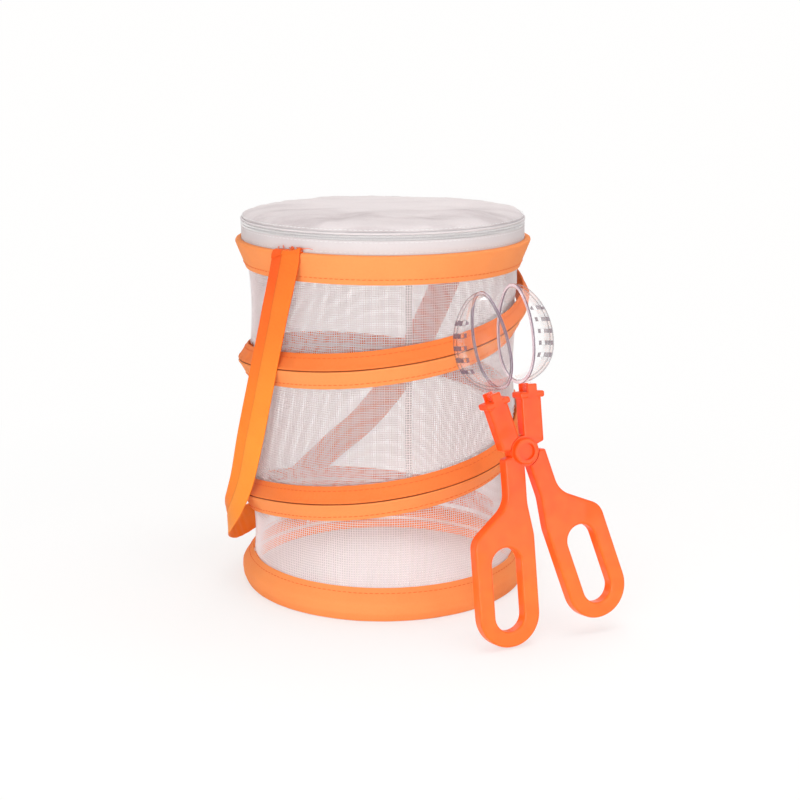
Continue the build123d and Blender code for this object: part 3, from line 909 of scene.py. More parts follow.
def stitch_tree(material: bpy.types.Material) -> GeometryTree:
    """Tree that lays stitches along the edges of a mesh.

    Args:
        material: finish of the thread.

    Returns:
        The tree, with the inputs Pitch, Length, Thread and Seed.
    """
    tree = GeometryTree(f"stitches_{material.name}")
    pitch, length, thread = tree.size("Pitch"), tree.size("Length"), tree.size("Thread")
    seed = tree.size("Seed", "NodeSocketInt")
    line = tree.node("GeometryNodeMeshToCurve", {}, {"Mesh": tree.entry.outputs["Geometry"]})
    marks = tree.node("GeometryNodeResampleCurve", {"mode": "LENGTH"}, {"Curve": line, "Length": pitch})
    ball = tree.node("GeometryNodeMeshIcoSphere", {}, {"Radius": 0.5, "Subdivisions": 2})
    scale = tree.node("ShaderNodeCombineXYZ", {}, {"X": length, "Y": thread, "Z": thread})
    stitch = tree.node("GeometryNodeTransform", {}, {"Geometry": ball, "Scale": scale})
    tangent = tree.node("GeometryNodeInputTangent")
    most = 0.09
    reach = {0: (-most,) * 3, 1: (most,) * 3, "Seed": seed}
    sway = tree.node("FunctionNodeRandomValue", {"data_type": "FLOAT_VECTOR"}, reach)
    leaned = tree.node("ShaderNodeVectorMath", {"operation": "ADD"}, {0: tangent, 1: sway})
    turned = tree.node("FunctionNodeAlignRotationToVector", {"axis": "X"}, {"Vector": leaned})
    inputs = {"Points": marks, "Instance": stitch, "Rotation": turned}
    placed = tree.node("GeometryNodeInstanceOnPoints", {}, inputs)
    tree.close(placed, material)
    return tree


def tube_tree(name: str, material: bpy.types.Material) -> GeometryTree:
    """Tree that draws a thin wire along the edges of a mesh."""
    tree = GeometryTree(name)
    wire = tree.size("Wire")
    line = tree.node("GeometryNodeMeshToCurve", {}, {"Mesh": tree.entry.outputs["Geometry"]})
    section = tree.node("GeometryNodeCurvePrimitiveCircle", {}, {"Resolution": 5, "Radius": wire})
    tube = tree.node("GeometryNodeCurveToMesh", {}, {"Curve": line, "Profile Curve": section, "Fill Caps": True})
    tree.close(tube, material)
    return tree


def line_mesh(name: str, points: Array, ring: bool) -> bpy.types.Mesh:
    """Mesh of edges through points in millimetres."""
    count = len(points)
    edges = [(index, (index + 1) % count) for index in range(count if ring else count - 1)]
    mesh = bpy.data.meshes.new(name)
    mesh.from_pydata((points * MM).tolist(), edges, [])
    return mesh


class Sewing:
    """Lays seams of one thread."""

    def __init__(
        self, material: bpy.types.Material, thread: float = 0.38, pitch: float = STITCH_PITCH, length: float = 2.2
    ) -> None:
        """Sets the thread.

        Args:
            material: its finish.
            thread: its diameter in millimetres.
            pitch: distance from stitch to stitch.
            length: length of a stitch.
        """
        self.tree = stitch_tree(material)
        self.sizes = {"Pitch": pitch * MM, "Length": length * MM, "Thread": thread * MM}

    def seam(self, name: str, path: Array, ring: bool = True, seed: int = 3) -> bpy.types.Object:
        """Row of stitches.

        Args:
            name: name of the piece.
            path: points that the seam follows, in millimetres.
            ring: True for a closed seam.
            seed: picks how the stitches lean.

        Returns:
            The seam as a piece.
        """
        return self.tree.grow(name, line_mesh(name, path, ring), {**self.sizes, "Seed": seed})


def joined(name: str, parts: Sequence[bpy.types.Object]) -> bpy.types.Object:
    """Joins pieces of one finish into one."""
    shape = bmesh.new()
    for part in parts:
        shape.from_mesh(part.data)
    mesh = bpy.data.meshes.new(name)
    shape.to_mesh(mesh)
    shape.free()
    material = next(item for item in reversed(parts[0].data.materials) if item)
    for part in parts:
        bpy.data.objects.remove(part)
    return finished_object(name, mesh, material)


# The cage's own sizes


@dataclass(frozen=True)
class CageSizes:
    """Levels and radii of the cage in millimetres, as in the solid model."""

    ring: float = 75.0
    band_edge: float = 69.6
    wall: float = 68.5
    base_top: float = 16.5
    base_ridge: float = 4.8
    rim_bottom: float = 166.0
    rim_ridge: float = 179.5
    rim_top: float = 180.3
    rim_lip: float = 71.9
    gusset: float = 71.6
    gusset_bottom: float = 180.8
    gusset_top: float = 186.9
    coil: float = 71.3
    coil_bead: float = 1.1
    coil_lower: float = 187.45
    coil_upper: float = 188.85
    zip_level: float = 188.15
    zip_half_arc: float = 160.0
    piping: float = 190.1
    piping_bead: float = 1.2
    lid_bottom: float = 190.8
    collapse: float = 140.0


def collapses(made: bpy.types.Object) -> bpy.types.Object:
    """Makes a piece of the wall ride on the base, with a mesh of its own.

    Args:
        made: the piece.

    Returns:
        The same piece.
    """
    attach(made, Body.ROOT.value)
    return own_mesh(made)


@dataclass
class FabricBand:
    """Folded strip of cloth round the cage, with hems, puckered seams and soft waves.

    Attributes:
        name: name of the piece.
        corners: radius and height of its outer line's corners, from the bottom up.
        hems: distances from the bottom and from the top at which it is sewn, where it is.
        thickness: thickness of the cloth.
        swell: depth of the soft waves.
        seed: picks the waves.
        rows: sections round the cage.
        step: distance between points of a section.
        hem_fold: how far the folded edge goes past the seam.
        hem_lift: how far the folded edge stands out.
        hem_cloth: how much thicker the folded edge is.
        stitch_pull: depth to which the stitches draw the cloth in.
        pucker: how much that depth goes up and down from stitch to stitch.
    """

    name: str
    corners: Sequence[tuple[float, float]]
    hems: tuple[float | None, float | None] = (None, None)
    thickness: float = 0.5
    swell: float = 0.25
    seed: int = 1
    rows: int = 720
    step: float = 0.7
    hem_fold: float = 0.6
    hem_lift: float = 0.22
    hem_cloth: float = 0.3
    stitch_pull: float = 0.16
    pucker: float = 0.05

    def build(self, material: bpy.types.Material) -> tuple[bpy.types.Object, list[Array]]:
        """Makes the band.

        Args:
            material: its finish.

        Returns:
            The piece, and the lines of its seams.
        """
        turn = azimuths(self.rows)
        line = dense(self.corners, self.step)
        profile = np.repeat(line[None], self.rows, axis=0)
        far = distances(line)
        total = far[-1]
        soft = waves(turn, (5, 9, 14, 23, 37), self.seed)[:, None]
        relief = soft * np.sin(math.pi * far / total)[None] * self.swell
        thick = np.full(len(far), self.thickness)
        seams = []
        stitches = round(2 * math.pi * self.corners[0][0] / STITCH_PITCH)
        pull = self.stitch_pull + self.pucker * np.sin(np.radians(turn) * stitches)[:, None]
        for hem, from_edge in zip(self.hems, (far, total - far)):
            if hem is None:
                continue
            past = from_edge - hem - self.hem_fold
            relief = relief + self.hem_lift * (1.0 / (1.0 + np.exp(past * 4.0)))[None]
            relief = relief - pull * hump(from_edge, hem, 0.55)[None]
            thick = thick + self.hem_cloth * (past < 0)
            seams.append(int(np.argmin(np.abs(from_edge - hem))))
        profile[..., 0] += relief
        section = walled(profile, thick)
        grid = polar(section[..., 0], turn[:, None], section[..., 1])
        made = grid_object(self.name, grid, material)
        lines = [polar(profile[:, index, 0] + 0.1, turn, profile[:, index, 1]) for index in seams]
        return made, lines


# Sub-assemblies


@dataclass
class Assembly(ABC):
    """Part of the cage that is sewn together.

    Attributes:
        sizes: sizes of the cage.
        finishes: all finishes.
        orange: thread of its orange seams.
        white: thread of its white seams.
    """

    sizes: CageSizes
    finishes: Finishes
    orange: Sewing
    white: Sewing

    @abstractmethod
    def build(self) -> list[bpy.types.Object]:
        """Makes the part.

        Returns:
            Its pieces.
        """


@dataclass
class BaseRing(Assembly):
    """Base of the cage: folded band, hoop and fabric floor.

    Attributes:
        foot: radius of the band's lower edge.
        foot_inner: radius to which the band is folded in under the cage.
        shoulder_height: level from which the band leans in.
        floor_radius: radius of the fabric floor.
        floor_height: level of its upper face.
        floor_rows: sections round it.
        floor_points: points from its edge to its middle.
    """

    foot: float = 73.2
    foot_inner: float = 71.0
    shoulder_height: float = 9.5
    floor_radius: float = 70.6
    floor_height: float = 0.75
    floor_rows: int = 240
    floor_points: int = 40

    def build(self) -> list[bpy.types.Object]:
        """Makes the band with its seam, and the floor."""
        s = self.sizes
        corners = [
            (self.foot_inner, 0.05),
            (self.foot, 0.05),
            (s.ring, s.base_ridge),
            (s.ring - 0.3, self.shoulder_height),
            (s.band_edge, s.base_top),
        ]
        band = FabricBand("base_band_cloth", corners, hems=(None, 2.6), swell=0.2, seed=11)
        cloth, lines = band.build(self.finishes.orange_fabric)
        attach(cloth, Body.ROOT.value)
        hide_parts("base_band")
        seam = self.orange.seam("base_band_seam", lines[0])
        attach(seam, Body.ROOT.value)
        return [cloth, seam, self._floor()]

    def _floor(self) -> bpy.types.Object:
        """Fabric floor with a soft buckle in it."""
        turn = azimuths(self.floor_rows)
        radii = np.linspace(self.floor_radius, 0.0, self.floor_points)
        share = (radii / self.floor_radius)[None]
        shape = 0.18 * waves(turn, (3, 5, 8), 5)[:, None] * share**2 * (1.0 - share**8) - 0.12
        top = polar(radii[None], turn[:, None], self.floor_height + shape - 0.1)
        under = polar(radii[None], turn[:, None], np.full_like(shape, 0.05) + np.maximum(shape, 0.0))
        made = grid_object("base_floor_cloth", two_faced(top, under), self.finishes.white_fabric)
        weld(made)
        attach(made, Body.ROOT.value)
        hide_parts("base_floor")
        return made


@dataclass
class SpiralWall(Assembly):
    """Net wall with the spiral spring wire in its folded sleeve.

    The spiral's height is given at steps of azimuth as a share of the wall's height.
    """

    top_azimuth: float = 112.0
    top_share: float = 0.98
    step: float = 60.0
    shares: tuple[float, ...] = (
        0.829, 0.7425, 0.698, 0.6555, 0.602, 0.525, 0.3946, 0.3064, 0.2428, 0.1438, 0.0756,
    )
    bottom_azimuth: float = -600.0
    bottom_share: float = 0.026
    wall_height: float = 149.5
    upper_leg: float = 8.0
    lower_leg: float = 9.5
    end_leg: float = 2.2
    end_taper: float = 80.0
    fall: float = 5.4
    wire_line: float = 71.6
    flat_run: float = 28.0
    wire: float = 1.8
    seam_azimuth: float = 168.0
    seam_width: float = 4.0
    uprights: int = 352
    rings: int = 124
    rod_points: int = 34
    ring_sides: int = 120
    thread: float = 0.41
    tucked: float = 0.8
    sag_share: float = 0.028
    sag_most: float = 1.7
    widest_gap: float = 200.0
    sleeve_rows: int = 1250
    wire_rows: int = 540
    wire_sides: int = 10

    def height(self, azimuth: Array) -> Array:
        """Height of the spiral's ridge at azimuths that count down from its top end."""
        inner = [self.step * (1 - index) for index in range(len(self.shares))]
        where = [self.top_azimuth, *inner, self.bottom_azimuth]
        share = [self.top_share, *self.shares, self.bottom_share]
        knots = np.array(where[::-1])
        values = self.sizes.base_top + np.array(share[::-1]) * self.wall_height
        slopes = np.empty(len(knots))
        slopes[1:-1] = (values[2:] - values[:-2]) / (knots[2:] - knots[:-2])
        slopes[0] = (values[1] - values[0]) / (knots[1] - knots[0])
        slopes[-1] = (values[-1] - values[-2]) / (knots[-1] - knots[-2])
        at = np.clip(np.searchsorted(knots, azimuth, side="right") - 1, 0, len(knots) - 2)
        span = knots[at + 1] - knots[at]
        part = (azimuth - knots[at]) / span
        rise = 3 * part**2 - 2 * part**3
        leave = slopes[at] * span * (part**3 - 2 * part**2 + part)
        arrive = slopes[at + 1] * span * (part**3 - part**2)
        return values[at] * (1 - rise) + values[at + 1] * rise + (leave + arrive)

    def legs(self, azimuth: Array) -> tuple[Array, Array]:
        """Heights of the sleeve's upper and lower legs at azimuths."""
        from_top = np.clip((self.top_azimuth - azimuth) / self.end_taper, 0.0, 1.0)
        from_bottom = np.clip((azimuth - self.bottom_azimuth) / self.end_taper, 0.0, 1.0)
        upper = self.end_leg + (self.upper_leg - self.end_leg) * np.sin(from_top * math.pi / 2)
        lower = self.end_leg + (self.lower_leg - self.end_leg) * np.sin(from_bottom * math.pi / 2)
        return upper, lower

    def standing(self, azimuth: Array) -> Array:
        """Share of its depth that the sleeve stands out by: it is sewn flat at both ends."""
        near = np.minimum(self.top_azimuth - azimuth, azimuth - self.bottom_azimuth)
        part = np.clip(near / self.flat_run, 0.0, 1.0)
        return 0.08 + 0.92 * part**2 * (3.0 - 2.0 * part)

    def build(self) -> list[bpy.types.Object]:
        """Makes the net, the sleeve, its wire and the side seam."""
        return [self._net(), *self._sleeve(), self._wire(), *self._side_seam()]

    def _draw_in(self, azimuth: Array, height: Array) -> Array:
        """Distance by which the taut net falls in between the bands that hold it."""
        edges_low = [np.full_like(height, self.sizes.base_top)]
        edges_high = [np.full_like(height, self.sizes.rim_bottom)]
        wrapped = (azimuth + 180.0) % FULL_TURN - 180.0
        for turns in range(-2, 2):
            place = wrapped + FULL_TURN * turns
            inside = (place < self.top_azimuth) & (place > self.bottom_azimuth)
            ridge = self.height(np.clip(place, self.bottom_azimuth, self.top_azimuth))
            upper, lower = self.legs(place)
            edges_low.append(np.where(inside, ridge + upper, self.sizes.base_top))
            edges_high.append(np.where(inside, ridge - lower, self.sizes.rim_bottom))
        nowhere = 1e9
        below = np.max([np.where(edge <= height, edge, -nowhere) for edge in edges_low], axis=0)
        above = np.min([np.where(edge >= height, edge, nowhere) for edge in edges_high], axis=0)
        gap = above - below
        part = np.clip((height - below) / np.maximum(gap, 1e-6), 0.0, 1.0)
        sag = np.minimum(gap * self.sag_share, self.sag_most)
        return np.where(gap < self.widest_gap, sag * np.sin(math.pi * part), 0.0)

    def _net(self) -> bpy.types.Object:
        """Net of crossed threads."""
        s = self.sizes
        tree = GeometryTree("net_wall")
        names = ("Uprights", "Rings", "Sides")
        uprights, rings, sides = (tree.size(name, "NodeSocketInt") for name in names)
        radius, bottom, pitch, thread = (tree.size(name) for name in ("Radius", "Bottom", "Pitch", "Thread"))
        run = tree.size("Run")
        section = tree.node("GeometryNodeCurvePrimitiveCircle", {}, {"Resolution": 3, "Radius": thread})
        up = tree.node("ShaderNodeCombineXYZ", {}, {"Z": run})
        foot = tree.node("ShaderNodeCombineXYZ", {}, {"Z": bottom})
        steps = {"Count": self.rod_points, "Start Location": foot, "Offset": up}
        rod = tree.node("GeometryNodeMeshLine", {}, steps)
        rod = tree.node("GeometryNodeMeshToCurve", {}, {"Mesh": rod})
        round_rod = {"Curve": rod, "Profile Curve": section, "Fill Caps": True}
        rod = tree.node("GeometryNodeCurveToMesh", {}, round_rod)
        feet = tree.node("GeometryNodeMeshCircle", {}, {"Vertices": uprights, "Radius": radius})
        rods = tree.node("GeometryNodeInstanceOnPoints", {}, {"Points": feet, "Instance": rod})
        loop = tree.node("GeometryNodeCurvePrimitiveCircle", {}, {"Resolution": sides, "Radius": radius})
        loop = tree.node("GeometryNodeCurveToMesh", {}, {"Curve": loop, "Profile Curve": section})
        lift = tree.node("ShaderNodeCombineXYZ", {}, {"Z": pitch})
        levels = tree.node("GeometryNodeMeshLine", {}, {"Count": rings, "Start Location": foot, "Offset": lift})
        loops = tree.node("GeometryNodeInstanceOnPoints", {}, {"Points": levels, "Instance": loop})
        both = tree.node("GeometryNodeJoinGeometry", {}, {"Geometry": [rods, loops]})
        tree.close(both, self.finishes.net)
        low, high = s.base_top - self.tucked, s.rim_bottom + self.tucked
        sizes = {
            "Uprights": self.uprights,
            "Rings": self.rings,
            "Sides": self.ring_sides,
            "Radius": (s.wall - 0.2) * MM,
            "Bottom": low * MM,
            "Pitch": (high - low) / (self.rings - 1) * MM,
            "Thread": self.thread / 2 * MM,
            "Run": (high - low) / (self.rod_points - 1) * MM,
        }
        made = tree.grow("wall_net", bpy.data.meshes.new("wall_net"), sizes)
        points = np.empty(len(made.data.vertices) * 3)
        made.data.vertices.foreach_get("co", points)
        points = points.reshape(-1, 3) / MM
        azimuth = np.degrees(np.arctan2(points[:, 0], -points[:, 1]))
        middle = np.sin(np.clip((points[:, 2] - low) / (high - low), 0, 1) * math.pi) ** 2
        inward = self._draw_in(azimuth, points[:, 2]) + 0.25 * waves(azimuth, (4, 7, 11, 19), 8) * middle
        points[:, :2] *= (1.0 - inward / s.wall)[:, None]
        points[:, 2] += 0.3 * waves(azimuth, (6, 13, 21), 9) * np.sin((points[:, 2] - low) / 11.0)
        made.data.vertices.foreach_set("co", (points * MM).ravel())
        made.data.update()
        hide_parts("wall_mesh")
        return collapses(made)

    def _sleeve(self) -> list[bpy.types.Object]:
        """Folded sleeve of the spiral and its seams."""
        s = self.sizes
        azimuth = np.linspace(self.top_azimuth, self.bottom_azimuth, self.sleeve_rows)
        ridge = self.height(azimuth)
        upper, lower = self.legs(azimuth)
        runs = ((-1.0, -0.2, 8), (-0.14, 0.14, 9), (0.2, 1.0, 7))
        share = np.concatenate([np.linspace(start, end, count) for start, end, count in runs])
        leg = np.where(share[None] < 0, lower[:, None], upper[:, None])
        far = share[None] * leg
        high = ridge[:, None] + far
        full = np.where(share < 0, self.lower_leg, self.upper_leg)
        radius = s.ring - self.fall * np.abs(share)[None] * leg / full[None]
        turn = azimuth * 0.73
        soft = waves(turn, (7, 13, 22, 41), 21)[:, None]
        cross = waves(turn + 40.0, (17, 29, 53), 22)[:, None]
        belly = np.sin(math.pi * np.abs(share))[None]
        relief = belly * (0.28 * soft + 0.16 * cross * np.sign(share)[None])
        relief = relief - 0.95 * hump(share, 0.0, 0.045)[None] + 0.3 * hump(np.abs(share), 0.13, 0.06)[None]
        pull = 0.14 + 0.05 * np.sin(np.radians(azimuth) * s.ring / STITCH_PITCH * 2 * math.pi)[:, None]
        thick = np.full(radius.shape, 0.45)
        hem, away = 3.0, 50.0
        for edge, side in ((lower[:, None] + far, share < 0), (upper[:, None] - far, share > 0)):
            near = edge * side[None] + away * (1.0 - side[None])
            relief = relief + 0.2 / (1.0 + np.exp((near - hem) * 4.0))
            relief = relief - pull * hump(near, 2.6, 0.5)
            thick = thick + 0.25 * (near < hem)
        foot = s.ring - self.fall
        radius = foot + (radius - foot + relief) * self.standing(azimuth)[:, None]
        section = walled(np.stack([radius, high], axis=-1), thick)
        grid = polar(section[..., 0], azimuth[:, None], section[..., 1])
        fold = int(np.argmin(np.abs(share)))
        cloth = grid_object("spiral_sleeve_cloth", grid, self.finishes.sleeve_fabric, ring=False, fold=fold)
        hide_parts("spiral_sleeve")
        inner = slice(60, self.sleeve_rows - 60)
        seams = []
        for name, column, seed in (("seam_low", 2, 3), ("seam_high", -3, 4)):
            path = polar((radius[:, column] + 0.1)[inner], azimuth[inner], high[inner, column])
            seams.append(self.orange.seam(name, path, ring=False, seed=seed))
        seam = joined("spiral_sleeve_seams", seams)
        return [collapses(cloth), collapses(seam)]

    def _wire(self) -> bpy.types.Object:
        """Spring wire inside the sleeve."""
        inset = 0.8 * self.flat_run
        azimuth = np.linspace(self.top_azimuth - inset, self.bottom_azimuth + inset, self.wire_rows)
        line = polar(self.wire_line, azimuth, self.height(azimuth))
        way = unit(np.gradient(line, axis=0))
        side = unit(np.cross(way, polar(1.0, azimuth, 0.0)))
        out = np.cross(side, way)
        angle = np.linspace(0.0, 2.0 * math.pi, self.wire_sides, endpoint=False)[:, None]
        ring = (np.cos(angle) * out[:, None] + np.sin(angle) * side[:, None]) * self.wire / 2
        made = grid_object("spiral_wire_steel", line[:, None] + ring, self.finishes.steel, ring=False)
        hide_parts("spiral_wire")
        return collapses(made)

    def _side_seam(self) -> list[bpy.types.Object]:
        """Binding tape inside the wall's upright seam."""
        s = self.sizes
        outer = s.wall - 1.0
        half = math.degrees(self.seam_width / 2 / outer)
        across = np.linspace(-half, half, 13)
        heights = np.linspace(s.base_top, s.rim_bottom, 200)
        fold = 0.12 * np.cos(across / half * math.pi * 2.0)[None] + 0.1 * np.sin(heights / 7.0)[:, None]
        inward = self._draw_in(np.full_like(heights, self.seam_azimuth), heights)[:, None]
        face = outer - 0.15 + fold - inward
        outside = polar(face, self.seam_azimuth + across[None], heights[:, None])
        inside = polar(face - 0.4, self.seam_azimuth + across[None], heights[:, None])
        tape = grid_object("side_seam_binding", two_faced(outside, inside), self.finishes.binding, ring=False)
        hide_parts("side_seam_tape")
        lines = []
        for index, side in enumerate((-0.6, 0.6)):
            place = self.seam_azimuth + half * side
            path = polar(outer - 0.62 - inward[:, 0], np.full_like(heights, place), heights)
            lines.append(self.white.seam(f"binding_{index}", path[2:-2], ring=False, seed=6 + index))
        seam = joined("side_seam_stitches", lines)
        return [collapses(tape), collapses(seam)]


@dataclass
class RimRing(Assembly):
    """Rim of the cage: folded band and the white gusset above it.

    Attributes:
        tuck: how far the gusset goes down behind the band.
    """

    tuck: float = 0.7

    def build(self) -> list[bpy.types.Object]:
        """Makes the band and the gusset with their seams."""
        s = self.sizes
        corners = [
            (s.band_edge, s.rim_bottom),
            (s.ring, s.rim_ridge),
            (s.ring - 0.9, s.rim_top),
            (s.rim_lip, s.rim_top),
        ]
        band = FabricBand("rim_band_cloth", corners, hems=(3.0, None), swell=0.22, seed=31)
        cloth, lines = band.build(self.finishes.orange_fabric)
        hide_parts("rim_band")
        seam = self.orange.seam("rim_band_seam", lines[0], seed=5)
        low, high = s.gusset_bottom - self.tuck, s.gusset_top
        sides = [(s.gusset - 0.1, low), (s.gusset + 0.1, (low + high) / 2), (s.gusset - 0.15, high)]
        hems = (1.1, 0.9)
        gusset = FabricBand("lid_gusset_cloth", sides, hems, swell=0.12, thickness=0.45, seed=37, step=0.45)
        white_cloth, white_lines = gusset.build(self.finishes.white_fabric)
        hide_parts("lid_gusset")
        seams = [
            self.white.seam(f"gusset_{index}", line, seed=8 + index) for index, line in enumerate(white_lines)
        ]
        white_seam = joined("lid_gusset_seams", seams)
        made = [cloth, seam, white_cloth, white_seam]
        for piece in made:
            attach(piece, Body.RIM.value)
        return made


@dataclass
class ZipFastener(Assembly):
    """Coil zip round the lid, with its tapes.

    Attributes:
        tape: radius of the lower tape.
        tape_height: how far it goes down below the coil.
        lid_tape: radius of the upper tape.
        lid_tape_height: how far it goes up above the coil.
        overlap: how far the upper tape goes past the coil at each edge.
        tape_thickness: thickness of both tapes.
        turn_pitch: distance from turn to turn of the coil.
        wire: diameter of the coil's wire.
        points_a_turn: points that draw one turn.
        hinge_half_arc: half of the hinge tape's arc in degrees.
        hinge_line: distance of the fold behind the cage's axis, in metres; not used.
        hinge_half_height: half of the height over which the hinge tape bends; not used.
        hinge_cloth: thickness of the hinge tape.
    """

    tape: float = 70.7
    tape_height: float = 3.4
    lid_tape: float = 70.1
    lid_tape_height: float = 2.2
    overlap: float = 0.4
    tape_thickness: float = 0.5
    turn_pitch: float = 1.0
    wire: float = 0.34
    points_a_turn: int = 8
    hinge_half_arc: float = 17.0
    hinge_line: float = 0.0722
    hinge_half_height: float = 0.9
    hinge_cloth: float = 0.4

    def _coil(self, name: str, level: float, phase: float, tree: GeometryTree) -> bpy.types.Object:
        """One half of the coil chain."""
        s = self.sizes
        arc = math.radians(2 * s.zip_half_arc) * s.coil
        turns = arc / self.turn_pitch
        count = int(turns * self.points_a_turn)
        spin = np.linspace(0.0, turns * 2 * math.pi, count) + phase
        azimuth = np.linspace(-s.zip_half_arc, s.zip_half_arc, count)
        reach = (s.coil_bead - self.wire) / 2
        squeeze = 1.0 + 0.35 * np.cos(spin) ** 4
        points = polar(s.coil + reach * np.sin(spin), azimuth, level + reach * np.cos(spin) * squeeze)
        return tree.grow(name, line_mesh(name, points, False), {"Wire": self.wire / 2 * MM})

    def build(self) -> list[bpy.types.Object]:
        """Makes both halves of the coil, their tapes and the hinge tape."""
        s = self.sizes
        tree = tube_tree("zip_coil_wire", self.finishes.coil)
        lower = self._coil("zip_coil_lower_wire", s.coil_lower, 0.0, tree)
        upper = self._coil("zip_coil_upper_wire", s.coil_upper, math.pi, tree)
        low = s.gusset_top - self.tape_height
        below = self._tape("zip_tape_lower_cloth", self.tape, low, self.tape_height + s.coil_bead, 41)
        start = s.coil_upper - s.coil_bead / 2 - self.overlap
        tall = self.lid_tape_height + 2 * self.overlap
        above = self._tape("zip_tape_upper_cloth", self.lid_tape, start, tall, 43)
        table = [
            (lower, "zip_coil_lower", Body.RIM, "white_coil"),
            (upper, "zip_coil_upper", Body.LID, "white_coil"),
            (below, "zip_tape_lower", Body.RIM, "white_fabric"),
            (above, "zip_tape_upper", Body.LID, "white_fabric"),
        ]
        for made, node, body, slot in table:
            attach(made, body.value)
            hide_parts(node)
        return [lower, upper, below, above, self._hinge_tape()]

    def _tape(self, name: str, radius: float, bottom: float, height: float, seed: int) -> bpy.types.Object:
        """Ribbed tape behind a coil."""
        sides = [(radius, bottom), (radius, bottom + height)]
        band = FabricBand(name, sides, swell=0.04, thickness=self.tape_thickness, seed=seed, step=0.5)
        made, _ = band.build(self.finishes.zip_tape)
        return made

    def _hinge_tape(self) -> bpy.types.Object:
        """Tape that joins the lid to the rim at the back."""
        s = self.sizes
        azimuth = 180.0 + np.linspace(-self.hinge_half_arc, self.hinge_half_arc, 90)
        heights = np.linspace(s.gusset_top - 1.6, s.lid_bottom + 1.4, 17)
        bend = 0.25 * np.sin((heights - heights[0]) / (heights[-1] - heights[0]) * math.pi)
        ripple = 0.1 * waves(azimuth, (24, 37, 61), 51)[:, None]
        face = s.gusset + 0.75 + bend[None] + ripple
        outside = polar(face, azimuth[:, None], heights[None])
        inside = polar(face - self.hinge_cloth, azimuth[:, None], heights[None])
        made = grid_object("lid_hinge_cloth", two_faced(outside, inside), self.finishes.white_fabric, ring=False)
        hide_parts("lid_hinge_tape")
        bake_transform(made)
        return made


